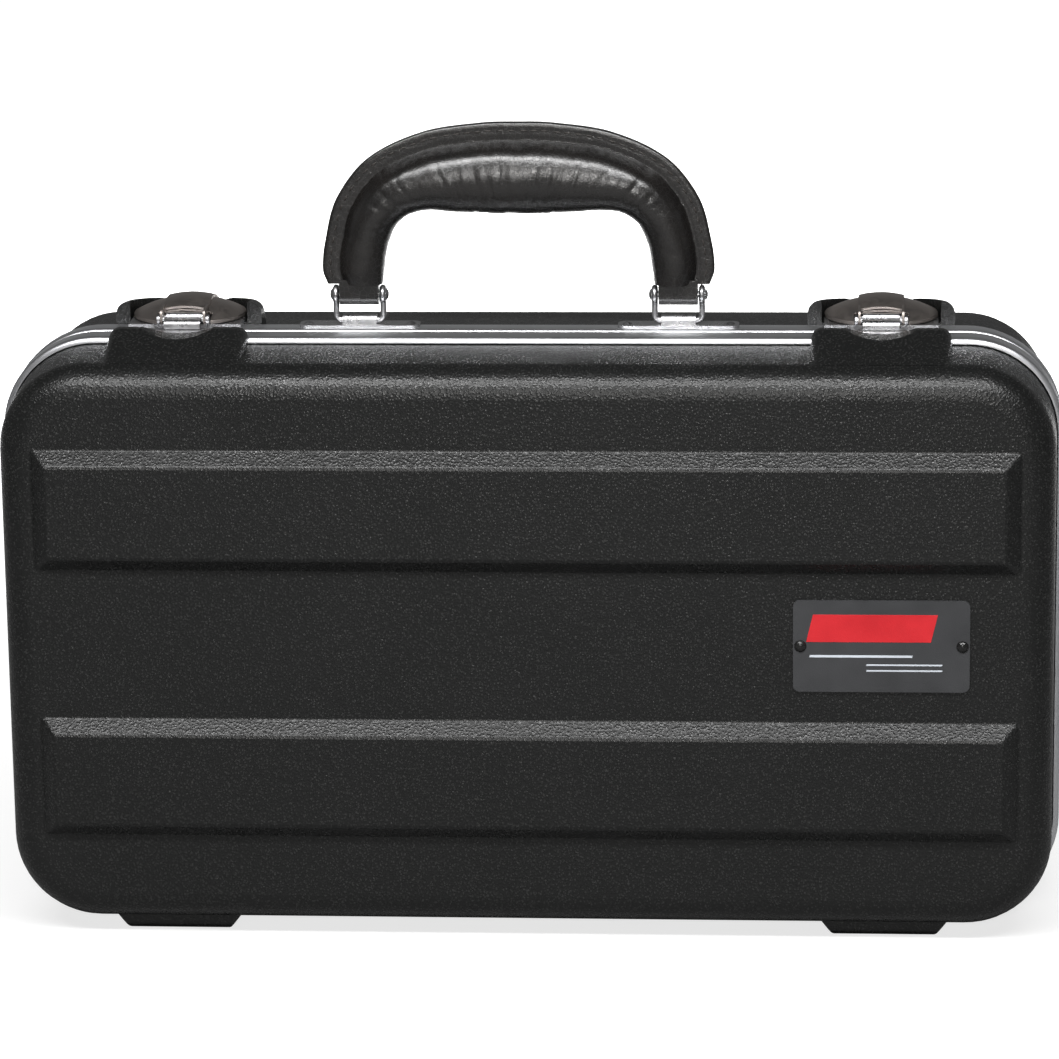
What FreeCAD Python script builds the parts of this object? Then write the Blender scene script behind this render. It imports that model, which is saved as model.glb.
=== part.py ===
import FreeCAD, Part
import Sketcher
import math
import os

# Microphone case: two moulded half shells closed by aluminium valances, with two draw latches,
# an arched leather handle on wire links, two hinges at the bottom and a foam lining.
# Frame: +Z up, the lid faces -Y, X runs along the width. The case stands on its feet at Z = 0.
# Every body is drawn with Y = 0 at the parting plane, and its Placement moves it to the frame.

os.makedirs("parts", exist_ok=True)
doc = FreeCAD.newDocument("microphone_case")
sheet = doc.addObject("Spreadsheet::Sheet", "Sizes")

# Driving sizes in millimetres, by group.
SIZES = {
    "shells": {
        "case_width": 400,
        "shell_height": 217.5,
        "shell_floor_gap": 4.3,
        "lid_depth": 52,
        "base_depth": 66,
        "corner_radius": 34,
        "wall": 3,
        "face_round": 11.5,
        "cavity_round": 8.5,
        "panel_height": 5,
        "panel_inset": 17,
        "panel_tall": 45.9,
        "upper_panel_bottom": 143.6,
        "lower_panel_bottom": 40.5,
        "panel_corner_round": 2.4,
        "panel_edge_round": 2.2,
        "panel_root_round": 1.2,
        "overrun": 20,
    },
    "valances": {
        "valance_width": 13.2,
        "valance_proud": 2.6,
        "valance_edge_proud": 1.7,
        "valance_lip": 0.9,
        "crown_radius": 66,
        "bevel_width": 1.4,
        "bevel_depth": 0.9,
        "shell_setback": 4,
        "channel_gap": 0.1,
        "lid_flange": 1.4,
        "base_flange": 1.8,
        "flange_width": 10,
        "parting_gap": 0.3,
        "tongue_reach": 2,
        "tongue_thickness": 1.4,
        "tongue_inset": 1.2,
        "groove_depth": 2.4,
        "groove_outer_gap": 0.3,
        "groove_inner_gap": 0.9,
        "ramp_gap": 0.2,
    },
    "feet": {
        "foot_bottom_width": 38,
        "foot_root_width": 49,
        "foot_root_height": 7,
        "foot_round": 3,
        "foot_inset_lid": 9.5,
        "foot_inset_base": 10,
        "left_foot_inset": 66,
        "right_foot_inset": 66.5,
    },
    "ramps": {
        "ramp_width": 52,
        "ramp_height": 6.4,
        "ramp_land": 3.5,
        "ramp_length": 29,
        "ramp_round": 4,
        "scoop_radius": 38,
        "scoop_depth": 2.4,
    },
    "guards": {
        "guard_width": 55.6,
        "guard_front_height": 10.4,
        "guard_rear_height": 7.4,
        "guard_slope_length": 24,
        "guard_tail": 7,
        "guard_round": 4.5,
        "guard_corner_round": 14,
        "guard_gap_width": 20.5,
        "well_clearance": 1.5,
    },
    "latches": {
        "latch_inset": 68.5,
        "lever_radius": 21.4,
        "lever_centre": 18,
        "lever_rim": 1,
        "lever_rise": 6.6,
        "lever_sheet": 1,
        "lever_gap": 0.3,
        "band_width": 17.2,
        "band_front": 4.4,
        "band_crest": 8.6,
        "band_front_height": 6,
        "band_rear_height": 3.2,
        "notch_width": 20.6,
        "latch_base_height": 1.8,
        "latch_base_sheet": 1,
        "latch_base_front": 1,
        "pivot_forward": 1.5,
        "pivot_height": 4.2,
        "pivot_radius": 1.1,
        "pivot_head": 0.5,
        "lug_sheet": 1,
        "lug_gap": 0.2,
        "lug_radius": 1.9,
        "hook_arm": 5,
        "hook_drop": 0.2,
        "hook_width": 13.6,
        "hook_sheet": 1.2,
        "hook_reach": 6,
        "hook_bend": 1.8,
        "hook_eye": 1.9,
        "hook_pin_radius": 0.8,
        "pin_play": 0.05,
        "keeper_sheet": 1,
        "keeper_width": 27,
        "keeper_front": 12.6,
        "keeper_rear": 2.2,
        "keeper_lip_height": 3.2,
        "keeper_lip_width": 13.2,
        "keeper_gap": 0.3,
    },
    "handle": {
        "handle_offset": 5,
        "handle_setback": 7.5,
        "handle_half_span": 74,
        "handle_top": 302.3,
        "grip_bottom": 267.4,
        "grip_half_gap": 50.5,
        "leg_end": 240.8,
        "grip_half_depth": 12,
        "seam_height": 5.4,
        "seam_half_thickness": 2,
        "leather": 1.6,
        "link_spacing": 60.3,
        "pin_height": 236.6,
        "pin_radius": 1.2,
        "pin_head_radius": 2.3,
        "pin_head": 1,
        "tip_width": 14.8,
        "tip_half_depth": 3.6,
        "tip_root": 6,
        "wire_radius": 1.15,
        "wire_half_spread": 8.9,
        "wire_bend": 2.2,
        "wire_play": 0.15,
        "core_sheet": 1.5,
        "core_width": 6,
        "core_corner": 27,
        "core_half_span": 61,
        "core_top": 283,
        "plate_length": 45.6,
        "plate_depth": 9.7,
        "plate_sheet": 1,
        "plate_corner": 3,
        "saddle_width": 13,
        "saddle_wall": 1,
    },
    "hinges": {
        "hinge_height": 2.4,
        "knuckle_radius": 2.1,
        "hinge_pin_radius": 1.15,
        "hinge_length": 40,
        "knuckle_middle": 14,
        "knuckle_gap": 0.3,
        "leaf_sheet": 1.2,
        "leaf_width": 12.4,
        "leaf_bottom": 3,
        "leaf_clearance": 0.5,
        "hinge_notch_top": 5,
        "hinge_notch_side": 1,
    },
    "lining": {
        "foam_clearance": 0.3,
        "lid_foam_setback": 11,
        "base_foam_setback": 2,
        "pad_depth": 17.7,
        "pocket_side": 17,
        "pocket_margin": 15.75,
        "pocket_head_radius": 28,
        "pocket_neck_half": 17.5,
        "pocket_tail_half": 15,
        "pocket_tail_round": 8,
    },
    "badge": {
        "badge_width": 65.2,
        "badge_tall": 35,
        "badge_inset": 35.4,
        "badge_bottom": 98.8,
        "badge_sheet": 1,
        "badge_corner": 2.5,
        "badge_rivet_inset": 2.7,
        "badge_rivet_head_radius": 2.3,
        "badge_rivet_head": 1.3,
    },
    "rivets": {
        "rivet_radius": 1.2,
        "rivet_head_radius": 2,
        "rivet_head": 0.8,
        "rivet_grip": 1.8,
        "rivet_margin": 3.4,
    },
}
ANGLES = {
    "draft_angle": 2.2,
    "panel_slope_angle": 47,
}


class Size:
    # A length that carries both its number and the expression that binds it to the sheet.
    def __init__(self, value, text):
        self.value = value
        self.text = text

    def join(self, other, sign, result):
        text = other.text if isinstance(other, Size) else repr(other)
        return Size(result, "(" + self.text + " " + sign + " " + text + ")")

    def __add__(self, other):
        return self.join(other, "+", self.value + number(other))

    def __sub__(self, other):
        return self.join(other, "-", self.value - number(other))

    def __mul__(self, other):
        return self.join(other, "*", self.value * number(other))

    def __truediv__(self, other):
        return self.join(other, "/", self.value / number(other))

    def __neg__(self):
        return Size(-self.value, "(0 - " + self.text + ")")


def number(size):
    return size.value if isinstance(size, Size) else size


class Sizes:
    pass


dim = Sizes()
ZERO = Size(0, "0")


def write_sheet():
    row = 1
    for group in list(SIZES.values()) + [ANGLES]:
        for alias, value in group.items():
            sheet.set("A%d" % row, alias)
            sheet.set("B%d" % row, str(value))
            sheet.setAlias("B%d" % row, alias)
            setattr(dim, alias, Size(value, "Sizes." + alias))
            row += 1
    doc.recompute()


write_sheet()


def tangent(angle):
    return Size(math.tan(math.radians(angle.value)), "tan(" + angle.text + " * 1 deg)")


# Derived places, all measured in the case's own frame.
half_width = dim.case_width / 2 - dim.valance_proud
shell_bottom = dim.shell_floor_gap
shell_top = shell_bottom + dim.shell_height
valance_top = shell_top + dim.valance_proud
parting_y = (dim.lid_depth - dim.base_depth) / 2
half_gap = dim.parting_gap / 2
latch_seat = valance_top
left_latch_x = dim.latch_inset - dim.case_width / 2
right_latch_x = -left_latch_x
panel_half_width = dim.case_width / 2 - dim.panel_inset
handle_x = -dim.handle_offset


def plane_of(body, role):
    return [item for item in body.Origin.OriginFeatures if item.Role == role][0]


def new_body(label):
    body = doc.addObject("PartDesign::Body", label)
    body.Label = label
    body.setExpression("Placement.Base.y", parting_y.text)
    return body


def shift_x(item, size):
    item.setExpression("Placement.Base.x", size.text)


def new_sketch(body, role, lift):
    sketch = body.newObject("Sketcher::SketchObject", "outline")
    sketch.AttachmentSupport = (plane_of(body, role), [""])
    sketch.MapMode = "FlatFace"
    if lift is not None:
        sketch.setExpression("AttachmentOffset.Base.z", lift.text)
    return sketch


def pin_point(sketch, edge, position, x, y):
    for kind, size in (("DistanceX", x), ("DistanceY", y)):
        index = sketch.addConstraint(Sketcher.Constraint(kind, -1, 1, edge, position, size.value))
        sketch.setExpression("Constraints[%d]" % index, size.text)


def arc_between(start, end, radius, side):
    # Side 1 turns left (centre on the left of the way from start to end), side -1 turns right.
    chord = end - start
    half = chord.Length / 2
    left = FreeCAD.Vector(-chord.y, chord.x, 0) / chord.Length
    centre = (start + end) / 2 + left * (side * math.sqrt(max(radius * radius - half * half, 0)))
    circle = Part.Circle(centre, FreeCAD.Vector(0, 0, 1), radius)
    first, last = (start, end) if side > 0 else (end, start)
    angle_of = lambda point: math.atan2(point.y - centre.y, point.x - centre.x)
    return Part.ArcOfCircle(circle, angle_of(first), angle_of(last))


def add_loop(sketch, corners):
    # A corner is (x, y), or (x, y, radius, side) where an arc leads to it from the corner before.
    points = [FreeCAD.Vector(corner[0].value, corner[1].value, 0) for corner in corners]
    count = len(corners)
    first_edge = sketch.GeometryCount
    ends = []
    for index in range(count):
        following = corners[(index + 1) % count]
        start, end = points[index], points[(index + 1) % count]
        if len(following) == 2:
            sketch.addGeometry(Part.LineSegment(start, end), False)
            ends.append((1, 2))
        else:
            sketch.addGeometry(arc_between(start, end, following[2].value, following[3]), False)
            ends.append((1, 2) if following[3] > 0 else (2, 1))
    for index in range(count):
        after = (index + 1) % count
        sketch.addConstraint(Sketcher.Constraint(
            "Coincident", first_edge + index, ends[index][1], first_edge + after, ends[after][0]))
    for index in range(count):
        pin_point(sketch, first_edge + index, ends[index][0], corners[index][0], corners[index][1])
        following = corners[(index + 1) % count]
        if len(following) > 2:
            radius = following[2]
            bound = sketch.addConstraint(
                Sketcher.Constraint("Radius", first_edge + index, radius.value))
            sketch.setExpression("Constraints[%d]" % bound, radius.text)


def add_circle(sketch, x, y, radius):
    edge = sketch.GeometryCount
    centre = FreeCAD.Vector(x.value, y.value, 0)
    sketch.addGeometry(Part.Circle(centre, FreeCAD.Vector(0, 0, 1), radius.value), False)
    pin_point(sketch, edge, 3, x, y)
    bound = sketch.addConstraint(Sketcher.Constraint("Radius", edge, radius.value))
    sketch.setExpression("Constraints[%d]" % bound, radius.text)


def outline(body, role, loops, lift=None):
    sketch = new_sketch(body, role, lift)
    for loop in loops:
        add_loop(sketch, loop)
    return sketch


def circles(body, role, places, radius, lift=None):
    sketch = new_sketch(body, role, lift)
    for x, y in places:
        add_circle(sketch, x, y, radius)
    return sketch


def box_loop(left, right, bottom, top):
    return [(left, bottom), (right, bottom), (right, top), (left, top)]


def rounded_loop(left, right, bottom, top, radius):
    return [
        (left + radius, bottom, radius, 1), (right - radius, bottom),
        (right, bottom + radius, radius, 1), (right, top - radius),
        (right - radius, top, radius, 1), (left + radius, top),
        (left, top - radius, radius, 1), (left, bottom + radius),
    ]


def extrude(body, kind, sketch, length, reverse=False, both=False, taper=None):
    feature = body.newObject("PartDesign::" + kind, kind.lower())
    feature.Profile = sketch
    feature.Reversed = reverse
    if both:
        feature.SideType = "Symmetric"
    feature.setExpression("Length", length.text)
    if taper is not None:
        feature.setExpression("TaperAngle", "0 - " + taper.text)
    return feature


def add(body, sketch, length, **options):
    return extrude(body, "Pad", sketch, length, **options)


def cut(body, sketch, length, **options):
    doc.recompute()
    before = body.Tip.Shape.Volume
    feature = extrude(body, "Pocket", sketch, length, **options)
    doc.recompute()
    if not feature.Shape.Volume < before:
        raise RuntimeError("a cut in " + body.Label + " removes nothing")
    return feature


def round_edges(body, radius, test):
    doc.recompute()
    base = body.Tip
    names = ["Edge%d" % (index + 1) for index, edge in enumerate(base.Shape.Edges) if test(edge)]
    if not names:
        raise RuntimeError("no edge to round in " + body.Label)
    fillet = body.newObject("PartDesign::Fillet", "fillet")
    fillet.Base = (base, names)
    fillet.setExpression("Radius", radius.text)
    doc.recompute()
    return fillet


def near(first, second):
    return abs(first - second) < 1e-3


# The two half shells. toward is -1 for the lid and +1 for the base; depth runs from the parting
# plane to the flat face. A sketch plane on XZ has its normal towards -Y.
def face_lift(distance, toward):
    return distance if toward < 0 else -distance


def shell_outline(inset):
    radius = dim.corner_radius - inset
    return rounded_loop(-half_width + inset, half_width - inset,
                        shell_bottom + inset, shell_top - inset, radius)


def panel_loop(bottom, inset):
    left, right = -panel_half_width + inset, panel_half_width - inset
    return box_loop(left, right, bottom + inset, bottom + dim.panel_tall - inset)


def add_panels(body, depth, toward):
    away = toward > 0
    outer = depth + dim.panel_height
    for bottom in (dim.upper_panel_bottom, dim.lower_panel_bottom):
        sketch = outline(body, "XZ_Plane", [panel_loop(bottom, ZERO)], face_lift(depth, toward))
        add(body, sketch, dim.panel_height, reverse=away, taper=dim.panel_slope_angle)

    def on_ridge(edge):
        ends = sorted(abs(vertex.Point.y) for vertex in edge.Vertexes)
        return len(ends) == 2 and near(ends[0], depth.value) and near(ends[1], outer.value)

    def on_crest(edge):
        return all(near(abs(vertex.Point.y), outer.value) for vertex in edge.Vertexes)

    def on_root(edge):
        box = edge.BoundBox
        flat = near(box.YLength, 0) and near(abs(box.YMin), depth.value)
        low = (dim.lower_panel_bottom - dim.panel_root_round).value
        high = (dim.upper_panel_bottom + dim.panel_tall + dim.panel_root_round).value
        inside = max(abs(box.XMin), abs(box.XMax)) < panel_half_width.value + dim.panel_root_round.value
        return flat and inside and box.ZMin > low and box.ZMax < high

    round_edges(body, dim.panel_corner_round, on_ridge)
    round_edges(body, dim.panel_edge_round, on_crest)
    round_edges(body, dim.panel_root_round, on_root)


# A foot, ramp or guard is drawn as a block of its own, rounded, and then fused with its shell.
def new_block(label):
    return doc.addObject("PartDesign::Body", label)


def combine(body, kind, tools):
    doc.recompute()
    before = body.Tip.Shape.Volume
    step = body.newObject("PartDesign::Boolean", kind.lower())
    step.Type = kind
    step.setObjects(tools)
    doc.recompute()
    change = step.Shape.Volume - before
    if change == 0 or (change > 0) != (kind == "Fuse"):
        raise RuntimeError(kind + " changed nothing in " + body.Label)


def foot_block(place, depth, inset, toward):
    start = dim.valance_width + dim.ramp_gap
    block = new_block("foot_block")
    half_foot, half_root = dim.foot_bottom_width / 2, dim.foot_root_width / 2
    loop = [(place - half_foot, ZERO), (place + half_foot, ZERO),
            (place + half_root, dim.foot_root_height), (place - half_root, dim.foot_root_height)]
    sketch = outline(block, "XZ_Plane", [loop], face_lift(start, toward))
    add(block, sketch, depth - inset - start, reverse=toward > 0)

    def on_sole(edge):
        box = edge.BoundBox
        nearest = min(abs(box.YMin), abs(box.YMax))
        return near(box.ZMax, 0) and not (near(box.YLength, 0) and near(nearest, start.value))

    round_edges(block, dim.foot_round, on_sole)
    return block


def add_feet(body, depth, inset, toward):
    half = dim.case_width / 2
    places = (dim.left_foot_inset - half, half - dim.right_foot_inset)
    combine(body, "Fuse", [foot_block(place, depth, inset, toward) for place in places])


def is_face_rim(distance):
    return lambda edge: near(edge.BoundBox.YLength, 0) and near(
        abs(edge.BoundBox.YMin), distance.value)


def build_shell(label, depth, toward):
    body = new_body(label)
    rim = dim.shell_setback
    sketch = outline(body, "XZ_Plane", [shell_outline(ZERO)], face_lift(rim, toward))
    add(body, sketch, depth - rim, reverse=toward > 0, taper=dim.draft_angle)
    round_edges(body, dim.face_round, is_face_rim(depth))
    add_panels(body, depth, toward)
    return body


# The hollow is drawn as the core that would mould it: the same draft, one wall inside.
def hollow_shell(body, depth, toward):
    away = toward > 0
    rim, floor = dim.shell_setback, depth - dim.wall
    core = new_block("core_block")
    sketch = outline(core, "XZ_Plane", [shell_outline(dim.wall)], face_lift(rim, toward))
    add(core, sketch, floor - rim, reverse=away, taper=dim.draft_angle)
    round_edges(core, dim.cavity_round, is_face_rim(floor))
    for bottom in (dim.upper_panel_bottom, dim.lower_panel_bottom):
        sketch = outline(core, "XZ_Plane", [panel_loop(bottom, dim.wall)], face_lift(floor, toward))
        add(core, sketch, dim.panel_height, reverse=away, taper=dim.panel_slope_angle)
    combine(body, "Cut", [core])


# On top of the lid shell a ramp rises towards each latch, with a shallow scoop below the hook.
def ramp_block(place):
    start = -(dim.valance_width + dim.ramp_gap)
    root = shell_top - dim.wall / 2
    crest = shell_top + dim.ramp_height
    block = new_block("ramp_block")
    loop = [(start, root), (start, crest), (start - dim.ramp_land, crest),
            (start - dim.ramp_length, root)]
    sketch = outline(block, "YZ_Plane", [loop], place)
    add(block, sketch, dim.ramp_width, both=True)

    def on_rim(edge):
        box = edge.BoundBox
        return box.ZMax > root.value + 1 and box.YMax - box.YMin > 1 or (
            near(box.ZLength, 0) and near(box.ZMax, crest.value) and box.YMax < start.value - 1)

    round_edges(block, dim.ramp_round, on_rim)
    centre_height = crest - dim.scoop_depth + dim.scoop_radius
    sketch = circles(block, "XZ_Plane", [(place, centre_height)], dim.scoop_radius,
                     -start - dim.overrun / 2)
    cut(block, sketch, dim.ramp_length + dim.overrun, reverse=True)
    return block


def add_ramps(body):
    combine(body, "Fuse", [ramp_block(place) for place in (left_latch_x, right_latch_x)])


# Behind each latch the base shell rises to a guard: a rounded block with a well for the lever
# and a gap at the back for the thumb.
def guard_block(place):
    start = dim.valance_width + dim.ramp_gap
    root = shell_top - dim.wall / 2
    front = shell_top + dim.guard_front_height
    rear = shell_top + dim.guard_rear_height
    slope_end = start + dim.guard_slope_length
    block = new_block("guard_block")
    loop = [(start, root), (slope_end + dim.guard_tail, root), (slope_end, rear), (start, front)]
    sketch = outline(block, "YZ_Plane", [loop], place)
    add(block, sketch, dim.guard_width, both=True)
    half = dim.guard_width / 2

    def on_back_corner(edge):
        box = edge.BoundBox
        return near(box.XLength, 0) and box.YMin > slope_end.value - 1

    round_edges(block, dim.guard_corner_round, on_back_corner)

    def on_top(edge):
        box = edge.BoundBox
        side = near(abs(edge.CenterOfMass.x - place.value), half.value) and box.YLength > 1
        back = box.YMin > slope_end.value - dim.guard_corner_round.value - 1
        high = box.ZMin > rear.value - 1e-3
        return high and (side or (back and box.XLength > 1))

    round_edges(block, dim.guard_round, on_top)
    return block


def well_cutter(place):
    block = new_block("well_block")
    radius = dim.lever_radius + dim.well_clearance
    sketch = circles(block, "XY_Plane", [(place, dim.lever_centre)], radius, latch_seat)
    add(block, sketch, dim.overrun)
    half_gap_width = dim.guard_gap_width / 2
    loop = box_loop(place - half_gap_width, place + half_gap_width,
                    dim.lever_centre, dim.lever_centre + radius + dim.overrun)
    sketch = outline(block, "XY_Plane", [loop], latch_seat)
    add(block, sketch, dim.overrun)
    return block


def add_guards(body):
    places = (left_latch_x, right_latch_x)
    combine(body, "Fuse", [guard_block(place) for place in places])
    combine(body, "Cut", [well_cutter(place) for place in places])


lid_shell = build_shell("lid_shell", dim.lid_depth, -1)
add_ramps(lid_shell)
add_feet(lid_shell, dim.lid_depth, dim.foot_inset_lid, -1)
hollow_shell(lid_shell, dim.lid_depth, -1)
base_shell = build_shell("base_shell", dim.base_depth, 1)
add_guards(base_shell)
add_feet(base_shell, dim.base_depth, dim.foot_inset_base, 1)
hollow_shell(base_shell, dim.base_depth, 1)


# Valance sections: d runs away from the parting plane, s outwards from the shell's surface.
# The valance's flange leans as the drafted wall beside it does.
flange_lean = tangent(dim.draft_angle) * (dim.flange_width - dim.shell_setback + dim.channel_gap)


def valance_section(toward, flange, mating):
    def corner(d, s, *rest):
        return (d if toward > 0 else -d, shell_top + s) + rest

    gap, turn = half_gap, (1 if toward < 0 else -1)
    outer = -dim.channel_gap
    inner = -dim.wall - dim.channel_gap
    back = dim.shell_setback - dim.channel_gap
    points = [
        corner(gap, dim.valance_proud - dim.bevel_depth),
        corner(gap + dim.bevel_width, dim.valance_proud),
        corner(dim.valance_width - dim.valance_lip, dim.valance_edge_proud, dim.crown_radius, turn),
        corner(dim.valance_width, dim.valance_edge_proud - dim.valance_lip),
        corner(dim.valance_width, -outer),
        corner(back, -outer),
        corner(back, inner),
        corner(dim.flange_width, inner - flange_lean),
        corner(dim.flange_width, inner - flange_lean - flange),
        corner(gap, inner - flange),
    ]
    return points + [corner(d, s) for d, s in mating]


def build_valance(label, toward, flange, mating):
    body = new_body(label)
    radius, right, left = dim.corner_radius, half_width, -half_width
    top, bottom = shell_top, shell_bottom
    path = outline(body, "XZ_Plane", [[
        (ZERO, top), (right - radius, top), (right, top - radius, radius, -1),
        (right, bottom + radius), (right - radius, bottom, radius, -1), (left + radius, bottom),
        (left, bottom + radius, radius, -1), (left, top - radius), (left + radius, top, radius, -1),
    ]])
    section = outline(body, "YZ_Plane", [valance_section(toward, flange, mating)])
    sweep = body.newObject("PartDesign::AdditivePipe", "extrusion")
    sweep.Profile = section
    sweep.Spine = (path, [])
    sweep.Mode = "Standard"
    doc.recompute()
    # The hinge knuckles sit in a notch at the bottom.
    half = dim.hinge_length / 2 + dim.hinge_notch_side
    for place in (left_latch_x, right_latch_x):
        loop = box_loop(place - half, place + half, -dim.overrun, dim.hinge_notch_top)
        sketch = outline(body, "XZ_Plane", [loop])
        cut(body, sketch, dim.overrun, reverse=toward < 0)
    return body


tongue_top = -dim.tongue_inset
tongue_bottom = tongue_top - dim.tongue_thickness
groove_top = tongue_top + dim.groove_outer_gap
groove_bottom = tongue_bottom - dim.groove_inner_gap
groove_end = half_gap + dim.groove_depth
lid_valance = build_valance("lid_valance", -1, dim.lid_flange, [
    (half_gap, tongue_bottom), (-dim.tongue_reach, tongue_bottom),
    (-dim.tongue_reach, tongue_top), (half_gap, tongue_top)])
base_valance = build_valance("base_valance", 1, dim.base_flange, [
    (half_gap, groove_bottom), (groove_end, groove_bottom),
    (groove_end, groove_top), (half_gap, groove_top)])


# A rivet: a domed head on the sheet and a shank that ends in the wall below it.
def dome(radius, height, place, direction):
    sphere = (radius * radius + height * height) / (2 * height)
    ball = Part.makeSphere(sphere, place - direction * (sphere - height))
    reach = 2 * sphere + height
    return ball.common(Part.makeCylinder(reach, reach, place, direction))


def new_shape(label, shape):
    item = doc.addObject("Part::Feature", label)
    item.Label = label
    item.Shape = shape
    item.setExpression("Placement.Base.y", parting_y.text)
    return item


def rivet_set(label, places, direction, grip, head_radius, head):
    solids = []
    for place in places:
        foot = place - direction * grip.value
        shank = Part.makeCylinder(dim.rivet_radius.value, grip.value, foot, direction)
        cap = dome(head_radius.value, head.value, place, direction)
        solids.append(shank.fuse(cap).removeSplitter())
    return new_shape(label, Part.makeCompound(solids))


def vector(x, y, z):
    return FreeCAD.Vector(number(x), number(y), number(z))


UP, DOWN = FreeCAD.Vector(0, 0, 1), FreeCAD.Vector(0, 0, -1)
FORWARD, ALONG = FreeCAD.Vector(0, -1, 0), FreeCAD.Vector(1, 0, 0)


# Foam lining: plain blocks of soft foam that follow the hollows of the shells, and a cut-out
# layer with six pockets, heads up and heads down by turns.
foam_inset = dim.wall + dim.channel_gap + flange_lean + dim.base_flange + dim.foam_clearance
middle_z = shell_bottom + dim.shell_height / 2
POCKETS = 6


def foam_block(label, near_side, far_side, toward, rounded):
    body = new_body(label)
    sketch = outline(body, "XZ_Plane", [shell_outline(foam_inset)], face_lift(near_side, toward))
    add(body, sketch, far_side - near_side, reverse=toward > 0)
    if rounded:
        round_edges(body, dim.cavity_round, is_face_rim(far_side))
    return body


def pocket_loop(x, upward):
    half = dim.shell_height / 2 - dim.pocket_margin
    head, neck, tail = dim.pocket_head_radius, dim.pocket_neck_half, dim.pocket_tail_half
    corner = dim.pocket_tail_round
    rise = Size(math.sqrt(head.value ** 2 - neck.value ** 2),
                "sqrt(" + head.text + " ^ 2 - " + neck.text + " ^ 2)")
    shoulder = half - head - rise
    points = [
        (-tail + corner, -half, corner, 1), (tail - corner, -half), (tail, corner - half, corner, 1),
        (neck, shoulder), (ZERO, half, head, 1), (-neck, shoulder, head, 1),
        (-tail, corner - half),
    ]
    if upward:
        return [(x + point[0], middle_z + point[1]) + point[2:] for point in points]
    return [(x - point[0], middle_z - point[1]) + point[2:] for point in points]


def build_lining():
    lid_far = dim.lid_depth - dim.wall - dim.foam_clearance
    base_far = dim.base_depth - dim.wall - dim.foam_clearance
    layer_far = base_far - dim.pad_depth
    foam_block("lid_foam", dim.lid_foam_setback, lid_far, -1, True)
    foam_block("base_foam_pad", layer_far, base_far, 1, True)
    layer = foam_block("base_foam_cutouts", dim.base_foam_setback, layer_far, 1, False)
    pitch = (dim.case_width - dim.pocket_side * 2) / POCKETS
    loops = [pocket_loop(pitch * (step - (POCKETS - 1) / 2), step % 2 == 0)
             for step in range(POCKETS)]
    sketch = outline(layer, "XZ_Plane", loops, face_lift(dim.base_foam_setback, 1))
    cut(layer, sketch, layer_far - dim.base_foam_setback, reverse=False)


build_lining()


# Name plate between the two panels of the lid, left plain, held by two domed rivets.
def build_badge():
    right, bottom = dim.case_width / 2 - dim.badge_inset, dim.badge_bottom
    left, top = right - dim.badge_width, bottom + dim.badge_tall
    middle = bottom + dim.badge_tall / 2
    places = [(left + dim.badge_rivet_inset, middle), (right - dim.badge_rivet_inset, middle)]
    plate = new_body("name_plate")
    loop = rounded_loop(left, right, bottom, top, dim.badge_corner)
    add(plate, outline(plate, "XZ_Plane", [loop], dim.lid_depth), dim.badge_sheet)
    face = dim.lid_depth + dim.badge_sheet
    for body in (plate, lid_shell):
        sketch = circles(body, "XZ_Plane", places, dim.rivet_radius, face)
        cut(body, sketch, dim.badge_sheet + dim.rivet_grip)
    rivet_set("name_plate_rivets", [vector(x, -face, z) for x, z in places], FORWARD,
              dim.badge_sheet + dim.rivet_grip, dim.badge_rivet_head_radius, dim.badge_rivet_head)


build_badge()


def drill_down(body, places, radius, top, depth):
    # Round holes from the height top downwards.
    cut(body, circles(body, "XY_Plane", places, radius, top), depth)


# Keeper on the lid valance: a riveted plate with an upstanding lip that the hook pulls on.
keeper_lip_rear = dim.hook_reach - dim.hook_sheet - dim.keeper_gap - dim.hook_sheet


def build_keepers():
    holes = []
    for side, place in (("left", left_latch_x), ("right", right_latch_x)):
        body = new_body("keeper_" + side)
        shift_x(body, place)
        half = dim.keeper_width / 2
        loop = box_loop(-half, half, -dim.keeper_front, -dim.keeper_rear)
        add(body, outline(body, "XY_Plane", [loop], latch_seat), dim.keeper_sheet)
        lip_front = keeper_lip_rear + dim.hook_sheet
        half_lip = dim.keeper_lip_width / 2
        loop = box_loop(-half_lip, half_lip, -lip_front, -keeper_lip_rear)
        add(body, outline(body, "XY_Plane", [loop], latch_seat), dim.keeper_lip_height)
        middle = -(dim.keeper_front + lip_front) / 2
        local = [(dim.rivet_margin - half, middle), (half - dim.rivet_margin, middle)]
        top = latch_seat + dim.keeper_sheet
        drill_down(body, local, dim.rivet_radius, top, dim.keeper_sheet)
        holes += [(place + x, y) for x, y in local]
    drill_down(lid_valance, holes, dim.rivet_radius, latch_seat, dim.rivet_grip)
    top = latch_seat + dim.keeper_sheet
    rivet_set("keeper_rivets", [vector(x, y, top) for x, y in holes], UP,
              dim.keeper_sheet + dim.rivet_grip, dim.rivet_head_radius, dim.rivet_head)


build_keepers()


# Latch: a base pan with two lugs, a domed lever on two pivots and a hook on a pin behind them.
plate_top = latch_seat + dim.latch_base_height
pivot_y = -dim.pivot_forward
pivot_z = latch_seat + dim.pivot_height
hook_y = pivot_y + dim.hook_arm
hook_z = pivot_z - dim.hook_drop
lug_inner = dim.band_width / 2 + dim.lug_gap
flange_inner = dim.band_width / 2 - dim.lever_sheet


def pan_loop(inset):
    radius = dim.lever_radius - inset
    centre = dim.lever_centre
    return [(-radius, dim.latch_base_front + inset), (radius, dim.latch_base_front + inset),
            (radius, centre), (ZERO, centre + radius, radius, 1), (-radius, centre, radius, 1)]


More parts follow.
